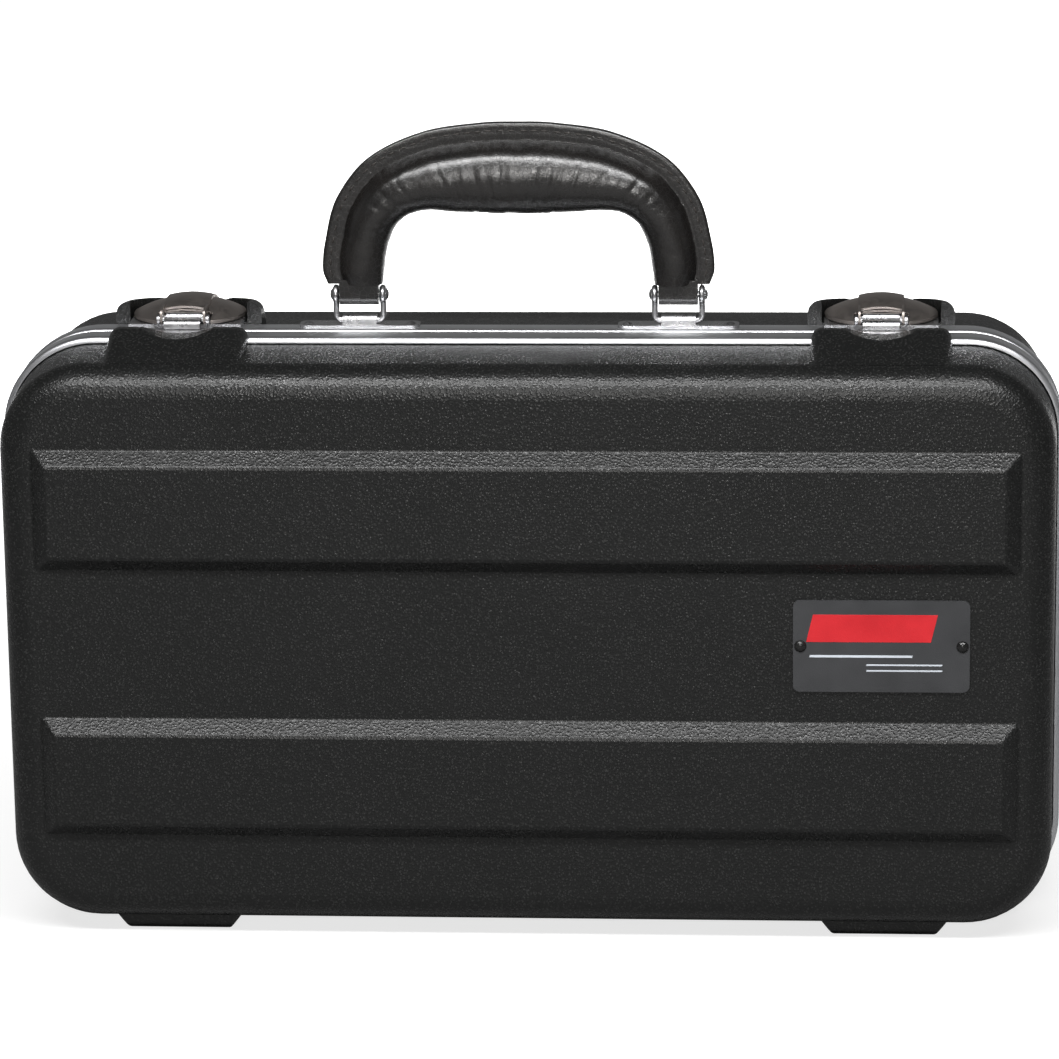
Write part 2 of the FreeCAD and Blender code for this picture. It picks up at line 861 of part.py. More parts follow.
def build_latch_base(side, place):
    body = new_body("latch_base_" + side)
    shift_x(body, place)
    add(body, outline(body, "XY_Plane", [pan_loop(ZERO)], latch_seat), dim.latch_base_height)
    cut(body, outline(body, "XY_Plane", [pan_loop(dim.latch_base_sheet)], latch_seat),
        dim.latch_base_height - dim.latch_base_sheet, reverse=True)
    radius = dim.lug_radius
    under = plate_top - dim.latch_base_sheet / 2
    back = dim.band_front - dim.lug_gap
    loop = [(back, under), (back, plate_top), (pivot_y, pivot_z + radius),
            (pivot_y - radius, pivot_z, radius, 1), (pivot_y, pivot_z - radius, radius, 1),
            (dim.latch_base_front, under)]
    for start in (lug_inner, -lug_inner - dim.lug_sheet):
        add(body, outline(body, "YZ_Plane", [loop], start), dim.lug_sheet)
    sketch = circles(body, "YZ_Plane", [(pivot_y, pivot_z)], dim.pivot_radius, -dim.lever_radius)
    cut(body, sketch, dim.lever_radius * 2, reverse=True)
    local = [(-dim.lever_radius / 2, dim.lever_centre),
             (dim.lever_radius / 2, dim.lever_centre)]
    drill_down(body, local, dim.rivet_radius, plate_top, dim.latch_base_height)
    return [(place + x, y) for x, y in local]


def along_x(radius, start, end, y, z):
    return Part.makeCylinder(number(radius), number(end) - number(start),
                             vector(start, y, z), ALONG)


def build_pivots(side, place):
    inner, outer = flange_inner - dim.pivot_head, lug_inner + dim.lug_sheet
    solids = []
    for direction in (1, -1):
        reach = (outer - inner).value
        shank = Part.makeCylinder(dim.pivot_radius.value, reach,
                                  vector(direction * inner.value, pivot_y, pivot_z),
                                  ALONG * direction)
        cap = dome(dim.lug_radius.value, dim.pivot_head.value,
                   vector(direction * outer.value, pivot_y, pivot_z), ALONG * direction)
        solids.append(shank.fuse(cap).removeSplitter())
    shift_x(new_shape("latch_pivots_" + side, Part.makeCompound(solids)), place)


def capped_disc(radius, bottom, rim, rise):
    # A disc with an upright rim and a spherical crown.
    centre = vector(0, dim.lever_centre, bottom)
    column = Part.makeCylinder(radius, rim + rise, centre)
    sphere = (radius * radius + rise * rise) / (2 * rise)
    return column.common(Part.makeSphere(sphere, centre + UP * (rim + rise - sphere)))


def band_block(inset, bottom):
    # The raised band over the middle of the lever, with an arched top, as a block.
    sheet = inset.value
    front, rear = dim.band_front.value, (dim.lever_centre + dim.lever_radius).value
    crest = vector(0, dim.lever_centre, plate_top + dim.band_crest - inset)
    start = vector(0, front, plate_top + dim.band_front_height - inset)
    end = vector(0, rear, plate_top + dim.band_rear_height - inset)
    low_front, low_rear = vector(0, front, bottom), vector(0, rear, bottom)
    arch = Part.Arc(start, crest, end).toShape()
    wire = Part.Wire([Part.makeLine(low_front, start), arch, Part.makeLine(end, low_rear),
                      Part.makeLine(low_rear, low_front)])
    half = dim.band_width.value / 2 - sheet
    return Part.Face(wire).extrude(ALONG * (2 * half)).translate(ALONG * -half)


def flange_profile():
    # Side wall of the band: it runs forward past the pivot, and its lower front corner is round.
    radius = dim.lug_radius.value
    y, z = pivot_y.value, pivot_z.value
    top = plate_top.value + dim.band_front_height.value
    back = dim.lever_centre.value
    lean = radius * math.sqrt(0.5)
    start, end = vector(0, y, z - radius), vector(0, y - radius, z)
    corner = Part.Arc(start, vector(0, y - lean, z - lean), end).toShape()
    points = [end, vector(0, y - radius, top), vector(0, back, top),
              vector(0, back, z - radius), start]
    return Part.Face(Part.Wire([corner] + Part.makePolygon(points).Edges))


def build_lever(side, place):
    bottom = plate_top.value + dim.lever_gap.value
    radius, sheet = dim.lever_radius.value, dim.lever_sheet.value
    rim, rise = dim.lever_rim.value, dim.lever_rise.value
    half = dim.band_width.value / 2
    outer_dome = capped_disc(radius, bottom, rim, rise)
    inner_dome = capped_disc(radius - sheet, bottom, rim - sheet, rise)
    column = Part.makeCylinder(radius, dim.overrun.value, vector(0, dim.lever_centre, bottom))
    hollow_column = Part.makeCylinder(radius - sheet, dim.overrun.value,
                                      vector(0, dim.lever_centre, bottom))
    band = band_block(ZERO, bottom).common(column)
    band_hollow = band_block(dim.lever_sheet, bottom - sheet).common(hollow_column)
    lever = outer_dome.fuse(band).cut(inner_dome).cut(band_hollow)
    notch_half = dim.notch_width.value / 2
    notch = Part.makeBox(2 * notch_half, radius * 2, dim.overrun.value,
                         vector(-notch_half, dim.band_front.value - 2 * radius, bottom - sheet))
    lever = lever.cut(notch)
    flange = flange_profile().extrude(ALONG * sheet)
    skin = outer_dome.fuse(band_block(ZERO, bottom))
    front = Part.makeBox(2 * radius, dim.band_front.value + radius, dim.overrun.value,
                         vector(-radius, -radius, bottom - sheet))
    for start in (-half, half - sheet):
        wall = flange.translated(ALONG * start)
        lever = lever.fuse(wall.common(skin.fuse(front)))
    for pin, y, z in ((dim.pivot_radius + dim.pin_play, pivot_y, pivot_z),
                      (dim.hook_pin_radius, hook_y, hook_z)):
        lever = lever.cut(along_x(pin, -half, half, y, z))
    shift_x(new_shape("latch_lever_" + side, lever.removeSplitter()), place)
    rod = along_x(dim.hook_pin_radius, -half, half, hook_y, hook_z)
    shift_x(new_shape("hook_pin_" + side, rod), place)


def build_hook(side, place):
    body = new_body("latch_hook_" + side)
    shift_x(body, place)
    sheet, bend = dim.hook_sheet, dim.hook_bend
    top, front = hook_z + sheet / 2, -dim.hook_reach
    low = latch_seat + dim.keeper_sheet + dim.keeper_gap
    loop = [(hook_y, top - sheet), (hook_y, top), (front + bend, top),
            (front, top - bend, bend, 1), (front, low), (front + sheet, low),
            (front + sheet, top - bend), (front + bend, top - sheet, bend - sheet, -1)]
    add(body, outline(body, "YZ_Plane", [loop]), dim.hook_width, both=True)
    add(body, circles(body, "YZ_Plane", [(hook_y, hook_z)], dim.hook_eye), dim.hook_width,
        both=True)
    sketch = circles(body, "YZ_Plane", [(hook_y, hook_z)], dim.hook_pin_radius + dim.pin_play,
                     -dim.hook_width)
    cut(body, sketch, dim.hook_width * 2, reverse=True)


def build_latches():
    holes = []
    for side, place in (("left", left_latch_x), ("right", right_latch_x)):
        holes += build_latch_base(side, place)
        build_pivots(side, place)
        build_lever(side, place)
        build_hook(side, place)
    drill_down(base_shell, holes, dim.rivet_radius, latch_seat, dim.rivet_grip)
    rivet_set("latch_base_rivets", [vector(x, y, plate_top) for x, y in holes], UP,
              dim.latch_base_height + dim.rivet_grip, dim.rivet_head_radius, dim.rivet_head)


build_latches()


# Handle plates: a riveted plate with a half round saddle over the bar of the wire link.
bar_z = valance_top + dim.plate_sheet + dim.wire_play + dim.wire_radius
link_places = (("left", handle_x - dim.link_spacing), ("right", handle_x + dim.link_spacing))


def build_handle_plates():
    holes = []
    for side, place in link_places:
        body = new_body("handle_plate_" + side)
        shift_x(body, place)
        half, depth = dim.plate_length / 2, dim.plate_depth / 2
        middle = dim.handle_setback
        loop = rounded_loop(-half, half, middle - depth, middle + depth, dim.plate_corner)
        add(body, outline(body, "XY_Plane", [loop], valance_top), dim.plate_sheet)
        hollow = dim.wire_radius + dim.wire_play
        outer = hollow + dim.saddle_wall
        top = valance_top + dim.plate_sheet
        root = top - dim.plate_sheet / 2
        loop = [(middle - outer, root), (middle - hollow, root), (middle - hollow, bar_z),
                (middle, bar_z + hollow, hollow, -1), (middle + hollow, bar_z, hollow, -1),
                (middle + hollow, root), (middle + outer, root), (middle + outer, bar_z),
                (middle, bar_z + outer, outer, 1), (middle - outer, bar_z, outer, 1)]
        add(body, outline(body, "YZ_Plane", [loop]), dim.saddle_width, both=True)
        local = [(dim.rivet_margin - half, middle), (half - dim.rivet_margin, middle)]
        drill_down(body, local, dim.rivet_radius, top, dim.plate_sheet)
        holes += [(place + x, y) for x, y in local]
    drill_down(base_valance, holes, dim.rivet_radius, valance_top, dim.rivet_grip)
    top = valance_top + dim.plate_sheet
    rivet_set("handle_plate_rivets", [vector(x, y, top) for x, y in holes], UP,
              dim.plate_sheet + dim.rivet_grip, dim.rivet_head_radius, dim.rivet_head)


build_handle_plates()


def rounded_path(corners, radius):
    # A wire through the corners in the plane of the handle, each inner corner an arc.
    edges, last = [], corners[0]
    for before, corner, after in zip(corners, corners[1:], corners[2:]):
        come, leave = (before - corner).normalize(), (after - corner).normalize()
        half = come.getAngle(leave) / 2
        reach = radius / math.tan(half)
        start, end = corner + come * reach, corner + leave * reach
        centre = corner + (come + leave).normalize() * (radius / math.sin(half))
        middle = centre + (corner - centre).normalize() * radius
        edges += [Part.makeLine(last, start), Part.Arc(start, middle, end).toShape()]
        last = end
    return Part.Wire(edges + [Part.makeLine(last, corners[-1])])


# Wire link: a U of round wire whose ends are curled into eyes round the handle's pin.
def build_link(side, place):
    y, spread = dim.handle_setback.value, dim.wire_half_spread.value
    wire = dim.wire_radius.value
    eye = (dim.pin_radius + dim.wire_play + dim.wire_radius).value
    eye_z = dim.pin_height.value
    start_z = eye_z - eye
    corners = [vector(-spread, y, start_z), vector(-spread, y, bar_z), vector(spread, y, bar_z),
               vector(spread, y, start_z)]
    path = rounded_path(corners, dim.wire_bend.value)
    ring = Part.Wire(Part.makeCircle(wire, corners[0], DOWN))
    link = path.makePipeShell([ring], True, False)
    for x in (-spread, spread):
        link = link.fuse(Part.makeTorus(eye, wire, vector(x, y, eye_z), ALONG))
    shift_x(new_shape("handle_link_" + side, link.removeSplitter()), place)
    reach = spread + wire + dim.wire_play.value
    pin = along_x(dim.pin_radius, -reach, reach, y, eye_z)
    for direction in (1, -1):
        cap = dome(dim.pin_head_radius.value, dim.pin_head.value,
                   vector(direction * reach, y, eye_z), ALONG * direction)
        pin = pin.fuse(cap)
    shift_x(new_shape("handle_pin_" + side, pin.removeSplitter()), place)


# Stations of the grip from the leg's end to the middle: the seam's edge and the inner edge as
# shares of the spans and rises, and the depth as a share of the grip's.
STATION_SHARES = [
    (0.976, 0, 1.012, 0, 0.62), (1, 0.09, 1, 0.2, 0.7), (0.982, 0.28, 0.962, 0.59, 0.8),
    (0.922, 0.532, 0.88, 0.89, 0.88), (0.764, 0.772, 0.72, 1.045, 0.95),
    (0.486, 0.935, 0.436, 1.03, 1), (0.19, 0.993, 0.18, 1.004, 1), (0, 1, 0, 1, 1),
]
BULGE_SHARES = (0.78, 0.68)
BELLY_SHARES = (0.146, 0.72)


def station_points():
    stations = []
    end = dim.leg_end.value
    outer_rise, inner_rise = dim.handle_top.value - end, dim.grip_bottom.value - end
    for outer_x, outer_z, inner_x, inner_z, depth in STATION_SHARES:
        outer = vector(outer_x * dim.handle_half_span.value, dim.handle_setback,
                       end + outer_z * outer_rise)
        inner = vector(inner_x * dim.grip_half_gap.value, dim.handle_setback,
                       end + inner_z * inner_rise)
        stations.append((outer, inner, depth * dim.grip_half_depth.value))
    mirrored = [(vector(-o.x, o.y, o.z), vector(-i.x, i.y, i.z), d) for o, i, d in stations[:-1]]
    return mirrored + stations[::-1]


def grip_wire(outer, inner, depth, inset):
    # Leather section: a round grip with a flat sewn seam on its outer side, or, one leather
    # thickness inside, the padding's section, which has no seam.
    rise = (outer - inner).normalize()
    side = FreeCAD.Vector(0, 1, 0)
    height = (outer - inner).Length
    roll, half = height - dim.seam_height.value, dim.seam_half_thickness.value

    def at(u, v):
        return inner + rise * u + side * v

    if inset:
        waist = depth - inset
        low, top, middle = inset, roll - inset, roll / 2
        quarter = math.sqrt(0.5)
        points = [(top, 0), (middle + (top - middle) * quarter, waist * quarter),
                  (middle, waist), (middle - (middle - low) * quarter, waist * quarter), (low, 0)]
        arcs = [Part.Arc(at(*points[0]), at(*points[1]), at(*points[2])),
                Part.Arc(at(*points[2]), at(*points[3]), at(*points[4]))]
        back = [(u, -v) for u, v in points[::-1]]
        arcs += [Part.Arc(at(*back[0]), at(*back[1]), at(*back[2])),
                 Part.Arc(at(*back[2]), at(*back[3]), at(*back[4]))]
        return Part.Wire([arc.toShape() for arc in arcs])
    middle = roll / 2
    bulge = (middle + (roll - middle) * BULGE_SHARES[0], half + (depth - half) * BULGE_SHARES[1])
    belly = (roll * BELLY_SHARES[0], depth * BELLY_SHARES[1])
    edges = [
        Part.makeLine(at(height, -half), at(height, half)),
        Part.makeLine(at(height, half), at(roll, half)),
        Part.Arc(at(roll, half), at(*bulge), at(middle, depth)).toShape(),
        Part.Arc(at(middle, depth), at(*belly), at(0, 0)).toShape(),
        Part.Arc(at(0, 0), at(belly[0], -belly[1]), at(middle, -depth)).toShape(),
        Part.Arc(at(middle, -depth), at(bulge[0], -bulge[1]), at(roll, -half)).toShape(),
        Part.makeLine(at(roll, -half), at(height, -half)),
    ]
    return Part.Wire(edges)


def tip_block(x):
    # The flat end of the leather, folded round the pin.
    y, half = dim.handle_setback.value, dim.tip_half_depth.value
    width, pin_z = dim.tip_width.value, dim.pin_height.value
    top = dim.leg_end.value + dim.tip_root.value
    box = Part.makeBox(width, 2 * half, top - pin_z, vector(x - width / 2, y - half, pin_z))
    return box.fuse(along_x(half, x - width / 2, x + width / 2, y, pin_z))


def build_handle():
    stations = station_points()
    leather = Part.makeLoft([grip_wire(o, i, d, 0) for o, i, d in stations], True, False)
    inset = dim.leather.value
    stuffing = Part.makeLoft([grip_wire(o, i, d, inset) for o, i, d in stations], True, False)
    y, half_span = dim.handle_setback.value, dim.core_half_span.value
    low = (dim.pin_height - dim.tip_half_depth / 2).value
    top = dim.core_top.value
    corners = [vector(-half_span, y, low), vector(-half_span, y, top), vector(half_span, y, top),
               vector(half_span, y, low)]
    sheet, width = dim.core_sheet.value / 2, dim.core_width.value / 2
    ring = Part.makePolygon([corners[0] + vector(a * sheet, b * width, 0)
                             for a, b in ((-1, -1), (1, -1), (1, 1), (-1, 1), (-1, -1))])
    path = rounded_path(corners, dim.core_corner.value)
    core = path.makePipeShell([ring], True, False)
    spacing = dim.link_spacing.value
    for x in (-spacing, spacing):
        leather = leather.fuse(tip_block(x))
    leather = leather.cut(stuffing).cut(core)
    stuffing = stuffing.cut(core)
    for x in (-spacing, spacing):
        pin = along_x(dim.pin_radius, x - dim.tip_width.value, x + dim.tip_width.value, y,
                      dim.pin_height)
        leather, core = leather.cut(pin), core.cut(pin)
    for label, shape in (("handle_cover", leather), ("handle_padding", stuffing),
                         ("handle_core", core)):
        shift_x(new_shape(label, shape.removeSplitter()), handle_x)


for side, place in link_places:
    build_link(side, place)
build_handle()


# Hinges: a leaf under each shell in the valances' notch, three knuckles and a pin.
def build_leaf(label, place, toward, knuckles):
    body = new_body(label)
    shift_x(body, place)
    away = 1 if toward > 0 else -1
    half = dim.hinge_length / 2
    start = dim.knuckle_radius + dim.leaf_clearance
    near_edge, far_edge = (start, dim.leaf_width) if away > 0 else (-dim.leaf_width, -start)
    loop = box_loop(-half, half, near_edge, far_edge)
    add(body, outline(body, "XY_Plane", [loop], dim.leaf_bottom), dim.leaf_sheet)
    reach = start + dim.leaf_clearance
    tab = (ZERO, reach) if away > 0 else (-reach, ZERO)
    for begin, length in knuckles:
        loop = box_loop(tab[0], tab[1], dim.leaf_bottom, dim.leaf_bottom + dim.leaf_sheet)
        add(body, outline(body, "YZ_Plane", [loop], begin), length)
        barrel = circles(body, "YZ_Plane", [(ZERO, dim.hinge_height)],
                         dim.knuckle_radius, begin)
        add(body, barrel, length)
    sketch = circles(body, "YZ_Plane", [(ZERO, dim.hinge_height)],
                     dim.hinge_pin_radius + dim.pin_play, -dim.hinge_length)
    cut(body, sketch, dim.hinge_length * 2, reverse=True)
    middle = (near_edge + far_edge) / 2
    step = half - dim.rivet_margin
    local = [(-step, middle), (ZERO, middle), (step, middle)]
    top = dim.leaf_bottom + dim.leaf_sheet
    drill_down(body, local, dim.rivet_radius, top, dim.leaf_sheet)
    return [(place + x, y) for x, y in local]


def build_hinges():
    half, middle = dim.hinge_length / 2, dim.knuckle_middle / 2
    outer = half - middle - dim.knuckle_gap
    base_knuckles = [(-half, outer), (middle + dim.knuckle_gap, outer)]
    lid_knuckles = [(-middle, dim.knuckle_middle)]
    for name, toward, knuckles, shell in (("lid", -1, lid_knuckles, lid_shell),
                                          ("base", 1, base_knuckles, base_shell)):
        holes = []
        for side, place in (("left", left_latch_x), ("right", right_latch_x)):
            holes += build_leaf(name + "_hinge_leaf_" + side, place, toward, knuckles)
        grip = dim.leaf_sheet + dim.rivet_grip
        sketch = circles(shell, "XY_Plane", holes, dim.rivet_radius, dim.leaf_bottom)
        cut(shell, sketch, grip, reverse=True)
        rivet_set(name + "_hinge_rivets", [vector(x, y, dim.leaf_bottom) for x, y in holes],
                  DOWN, grip, dim.rivet_head_radius, dim.rivet_head)
    for side, place in (("left", left_latch_x), ("right", right_latch_x)):
        pin = along_x(dim.hinge_pin_radius, -half, half, 0, dim.hinge_height)
        shift_x(new_shape("hinge_pin_" + side, pin), place)


build_hinges()


parts = [item for item in doc.Objects if "block" not in item.Label
         and (item.isDerivedFrom("PartDesign::Body") or item.TypeId == "Part::Feature")]


def write_parts():
    doc.recompute()
    for item in doc.Objects:
        if "Invalid" in item.State or "Error" in item.State:
            raise RuntimeError(item.Name + " failed: " + str(item.State))
    for item in parts:
        shape = item.Shape
        if shape.isNull() or not shape.isValid() or not shape.Solids:
            raise RuntimeError(item.Label + " is not a valid solid")
        shape.exportStep("parts/" + item.Label + ".step")
        print(item.Label, len(shape.Solids), round(shape.Volume))


write_parts()
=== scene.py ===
import math

import bmesh
import bpy
from mathutils import Matrix, Vector, noise


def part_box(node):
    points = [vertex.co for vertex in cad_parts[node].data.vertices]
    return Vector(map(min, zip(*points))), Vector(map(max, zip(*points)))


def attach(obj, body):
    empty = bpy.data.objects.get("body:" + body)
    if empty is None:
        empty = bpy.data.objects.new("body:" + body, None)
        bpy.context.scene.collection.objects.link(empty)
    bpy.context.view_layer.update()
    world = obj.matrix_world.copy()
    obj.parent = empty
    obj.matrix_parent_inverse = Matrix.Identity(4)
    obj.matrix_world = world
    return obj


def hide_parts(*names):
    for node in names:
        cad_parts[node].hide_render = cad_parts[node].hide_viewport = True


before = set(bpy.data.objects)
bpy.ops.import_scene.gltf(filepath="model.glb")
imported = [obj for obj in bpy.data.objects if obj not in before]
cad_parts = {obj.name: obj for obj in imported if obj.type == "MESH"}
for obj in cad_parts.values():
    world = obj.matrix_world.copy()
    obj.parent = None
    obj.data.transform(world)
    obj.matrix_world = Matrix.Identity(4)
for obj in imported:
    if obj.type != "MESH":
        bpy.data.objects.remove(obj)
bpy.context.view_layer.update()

print("frame loaded:", len(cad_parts), "nodes")


# Short hand for laying shader nodes.
class Tree:
    def __init__(self, tree):
        self.tree = tree

    def fill(self, socket, value):
        # Links the socket to another one, or gives it a fixed value.
        if isinstance(value, bpy.types.NodeSocket):
            self.tree.links.new(value, socket)
        else:
            socket.default_value = value

    def node(self, kind, sockets=(), **fields):
        item = self.tree.nodes.new(kind)
        for key, value in fields.items():
            setattr(item, key, value)
        for socket, value in dict(sockets).items():
            self.fill(item.inputs[socket], value)
        return item

    def maths(self, operation, first, second):
        return self.node("ShaderNodeMath", {0: first, 1: second}, operation=operation).outputs[0]

    def remap(self, value, low, high, toLow, toHigh, smooth=False):
        sockets = {"Value": value, "From Min": low, "From Max": high, "To Min": toLow, "To Max": toHigh}
        kind = "SMOOTHSTEP" if smooth else "LINEAR"
        return self.node("ShaderNodeMapRange", sockets, interpolation_type=kind).outputs["Result"]

    def blend(self, mask, first, second):
        # Sockets 6 and 7 are the two colours of a mix, and output 2 is the mixed colour.
        first, second = ((*c, 1) if isinstance(c, tuple) else c for c in (first, second))
        sockets = {"Factor": mask, 6: first, 7: second}
        return self.node("ShaderNodeMix", sockets, data_type="RGBA").outputs[2]


def newGroup(name, setting, kind, value, outputs):
    # A group reads a vector and one setting, and puts out masks and heights.
    group = bpy.data.node_groups.new(name, "ShaderNodeTree")
    group.interface.new_socket("Vector", in_out="INPUT", socket_type="NodeSocketVector")
    group.interface.new_socket(setting, in_out="INPUT", socket_type=kind).default_value = value
    for label in outputs:
        group.interface.new_socket(label, in_out="OUTPUT", socket_type="NodeSocketFloat")
    start, end = group.nodes.new("NodeGroupInput"), group.nodes.new("NodeGroupOutput")
    return Tree(group), start.outputs, end.inputs


def startMaterial(name, sockets):
    material = bpy.data.materials.new(name)
    material.use_nodes = True
    shader = material.node_tree.nodes["Principled BSDF"]
    for label, value in sockets.items():
        shader.inputs[label].default_value = value
    t = Tree(material.node_tree)
    return material, t, shader, t.node("ShaderNodeTexCoord").outputs["Object"]


def useGroup(t, group, sockets):
    return t.node("ShaderNodeGroup", sockets, node_tree=group).outputs


def bump(t, shader, height, strength, distance):
    sockets = {"Height": height, "Strength": strength, "Distance": distance}
    t.fill(shader.inputs["Normal"], t.node("ShaderNodeBump", sockets).outputs["Normal"])


# Stage: a pale table, a strip light above and ahead, a small light at the camera and a panel
# over the table behind. Lengths are in metres and angles in degrees.
camera = {
    "place": (0.12845, -1.78164, 0.59813), "yaw": 4.19, "pitch": 14.23, "roll": -0.78,
    "lens": 164.09, "sensor": 36, "clip": (0.05, 50),
}
lights = [
    # name, place, aim, width, height, watts, spread, colour
    ("cameraBox", (0.05, -1.85, 0.68), (0, 0, 0.15), 0.16, 0.12, 8, 180, (1, 0.985, 0.965)),
    ("topStrip", (0.0, -0.76, 1.17), (0, -0.05, 0.2), 1.5, 0.15, 21, 180, (1, 1, 1)),
    # Aimed a hair off straight down, which settles how the panel turns.
    ("backTable", (0.0, 1.25, 1.0), (0, 1.25001, 0), 1.6, 0.7, 38, 100, (1, 1, 1)),
]
room = {
    "seen": 1.0, "low": 0.16, "high": 0.05,  # the wall's light: to the camera, low down, high up
    "bandEnd": (0.28, 0.5),  # sine of the height angle where the low band fades out
    "floorSize": 9, "floorColour": (0.32, 0.32, 0.32), "floorRough": 0.9, "floorShine": 0.1,
    "floorGlow": (0.74, 0.96), "glowReach": (0.4, 2.2),  # glow near the case and far from it
}


def setCamera():
    data = bpy.data.cameras.new("photoCamera")
    data.lens, data.sensor_width = camera["lens"], camera["sensor"]
    data.clip_start, data.clip_end = camera["clip"]
    cam = bpy.data.objects.new("photoCamera", data)
    bpy.context.collection.objects.link(cam)
    yaw, pitch, roll = (math.radians(camera[key]) for key in ("yaw", "pitch", "roll"))
    aim = Matrix.Rotation(yaw, 4, "Z") @ Matrix.Rotation(math.pi / 2 - pitch, 4, "X")
    turn = aim @ Matrix.Rotation(roll, 4, "Z")
    cam.matrix_world = Matrix.Translation(camera["place"]) @ turn
    bpy.context.scene.camera = cam


def setLights():
    for name, place, aim, width, height, watts, spread, colour in lights:
        data = bpy.data.lights.new(name, "AREA")
        data.shape, data.size, data.size_y = "RECTANGLE", width, height
        data.energy, data.color, data.spread = watts, colour, math.radians(spread)
        lamp = bpy.data.objects.new(name, data)
        bpy.context.collection.objects.link(lamp)
        lamp.location = place
        lamp.rotation_euler = (Vector(aim) - Vector(place)).to_track_quat("-Z", "Y").to_euler()


def setWall():
    # White to the camera, and a dim band round the horizon to everything else.
    world = bpy.data.worlds.new("studio")
    bpy.context.scene.world = world
    world.use_nodes = True
    back = world.node_tree.nodes["Background"]
    back.inputs["Color"].default_value = (1, 1, 1, 1)
    t = Tree(world.node_tree)
    way = t.node("ShaderNodeTexCoord").outputs["Generated"]
    height = t.node("ShaderNodeSeparateXYZ", {"Vector": way}).outputs["Z"]
    band = t.remap(height, *room["bandEnd"], room["low"], room["high"], smooth=True)
    isSeen = t.node("ShaderNodeLightPath").outputs["Is Camera Ray"]
    t.fill(back.inputs["Strength"], t.remap(isSeen, 0, 1, band, room["seen"]))


def setFloor():
    # The glow brings the table up to white for the camera alone.
    bm = bmesh.new()
    bmesh.ops.create_grid(bm, x_segments=1, y_segments=1, size=room["floorSize"])
    mesh = bpy.data.meshes.new("floor")
    bm.to_mesh(mesh)
    bm.free()
    floor = bpy.data.objects.new("floor", mesh)
    bpy.context.collection.objects.link(floor)
    paint, t, shader, vector = startMaterial("paleFloor", {
        "Base Color": (*room["floorColour"], 1), "Roughness": room["floorRough"],
        "Specular IOR Level": room["floorShine"], "Emission Color": (1, 1, 1, 1),
    })
    far = t.node("ShaderNodeVectorMath", {0: vector}, operation="LENGTH").outputs["Value"]
    glow = t.remap(far, *room["glowReach"], *room["floorGlow"])
    isSeen = t.node("ShaderNodeLightPath").outputs["Is Camera Ray"]
    t.fill(shader.inputs["Emission Strength"], t.maths("MULTIPLY", glow, isSeen))
    mesh.materials.append(paint)


setCamera()
setLights()
setWall()
setFloor()
bpy.context.scene.view_settings.view_transform = "Standard"
print("camera, lights and floor set")


# Effects that several materials share. A scale is in patterns per metre, and the other scales
# of a group are shares of it.
pebbles = {
    "scale": 900.0, "warpScale": 0.6, "warpDetail": 1.0, "warpReach": 0.9, "smoothness": 0.6,
    "domeEdge": 0.75, "domeShare": 0.75, "fineScale": 1.9, "fineDetail": 3.0, "fineShare": 0.5,
    "pitHeights": (0.35, 0.75),
}
mottle = {
    "scale": 30.0, "slowDetail": 4.0, "slowRange": (0.3, 0.7),
    "speckScale": 40.0, "speckDetail": 2.0, "speckRange": (0.66, 0.74),
}
brushing = {
    "stretch": (20, 3000, 20), "lineScale": 1.0, "lineDetail": 3.0, "lineRough": 0.7,
    "cutScale": 260.0, "cutDetail": 6.0, "cutBend": 2.5, "cutRange": (0.495, 0.505),
}
hideGrain = {
    "scale": 700.0, "largeScale": 0.42, "fineScale": 2.0, "fineDetail": 3.0,
    "smallEdge": 0.22, "largeEdge": 0.12, "smallShare": 0.35, "largeShare": 0.4, "fineShare": 0.3,
    "crackEdge": 0.5, "crackDepth": 0.6,
}


def makePebbleGroup():
    # Moulded grain: rounded pebbles of uneven size with fine pits between them.
    p = pebbles
    t, start, end = newGroup("pebbleGrain", "Scale", "NodeSocketFloat", p["scale"], ["Height", "Pits"])
    vector, scale = start["Vector"], start["Scale"]
    warpScale = t.maths("MULTIPLY", scale, p["warpScale"])
    warp = t.node("ShaderNodeTexNoise", {"Vector": vector, "Scale": warpScale, "Detail": p["warpDetail"]})
    reach = t.maths("DIVIDE", p["warpReach"], scale)
    shift = t.node("ShaderNodeVectorMath", {0: warp.outputs["Color"], "Scale": reach}, operation="SCALE")
    moved = t.node("ShaderNodeVectorMath", {0: vector, 1: shift.outputs[0]}, operation="ADD")
    spots = {"Vector": moved.outputs[0], "Scale": scale, "Smoothness": p["smoothness"]}
    cells = t.node("ShaderNodeTexVoronoi", spots, feature="SMOOTH_F1")
    fineScale = t.maths("MULTIPLY", scale, p["fineScale"])
    fine = t.node("ShaderNodeTexNoise", {"Vector": vector, "Scale": fineScale, "Detail": p["fineDetail"]})
    dome = t.remap(cells.outputs["Distance"], 0.0, p["domeEdge"], 1.0, 0.0, smooth=True)
    height = t.maths("ADD", t.maths("MULTIPLY", dome, p["domeShare"]),
                     t.maths("MULTIPLY", fine.outputs["Fac"], p["fineShare"]))
    t.fill(end["Height"], height)
    t.fill(end["Pits"], t.remap(height, *p["pitHeights"], 1.0, 0.0))
    return t.tree


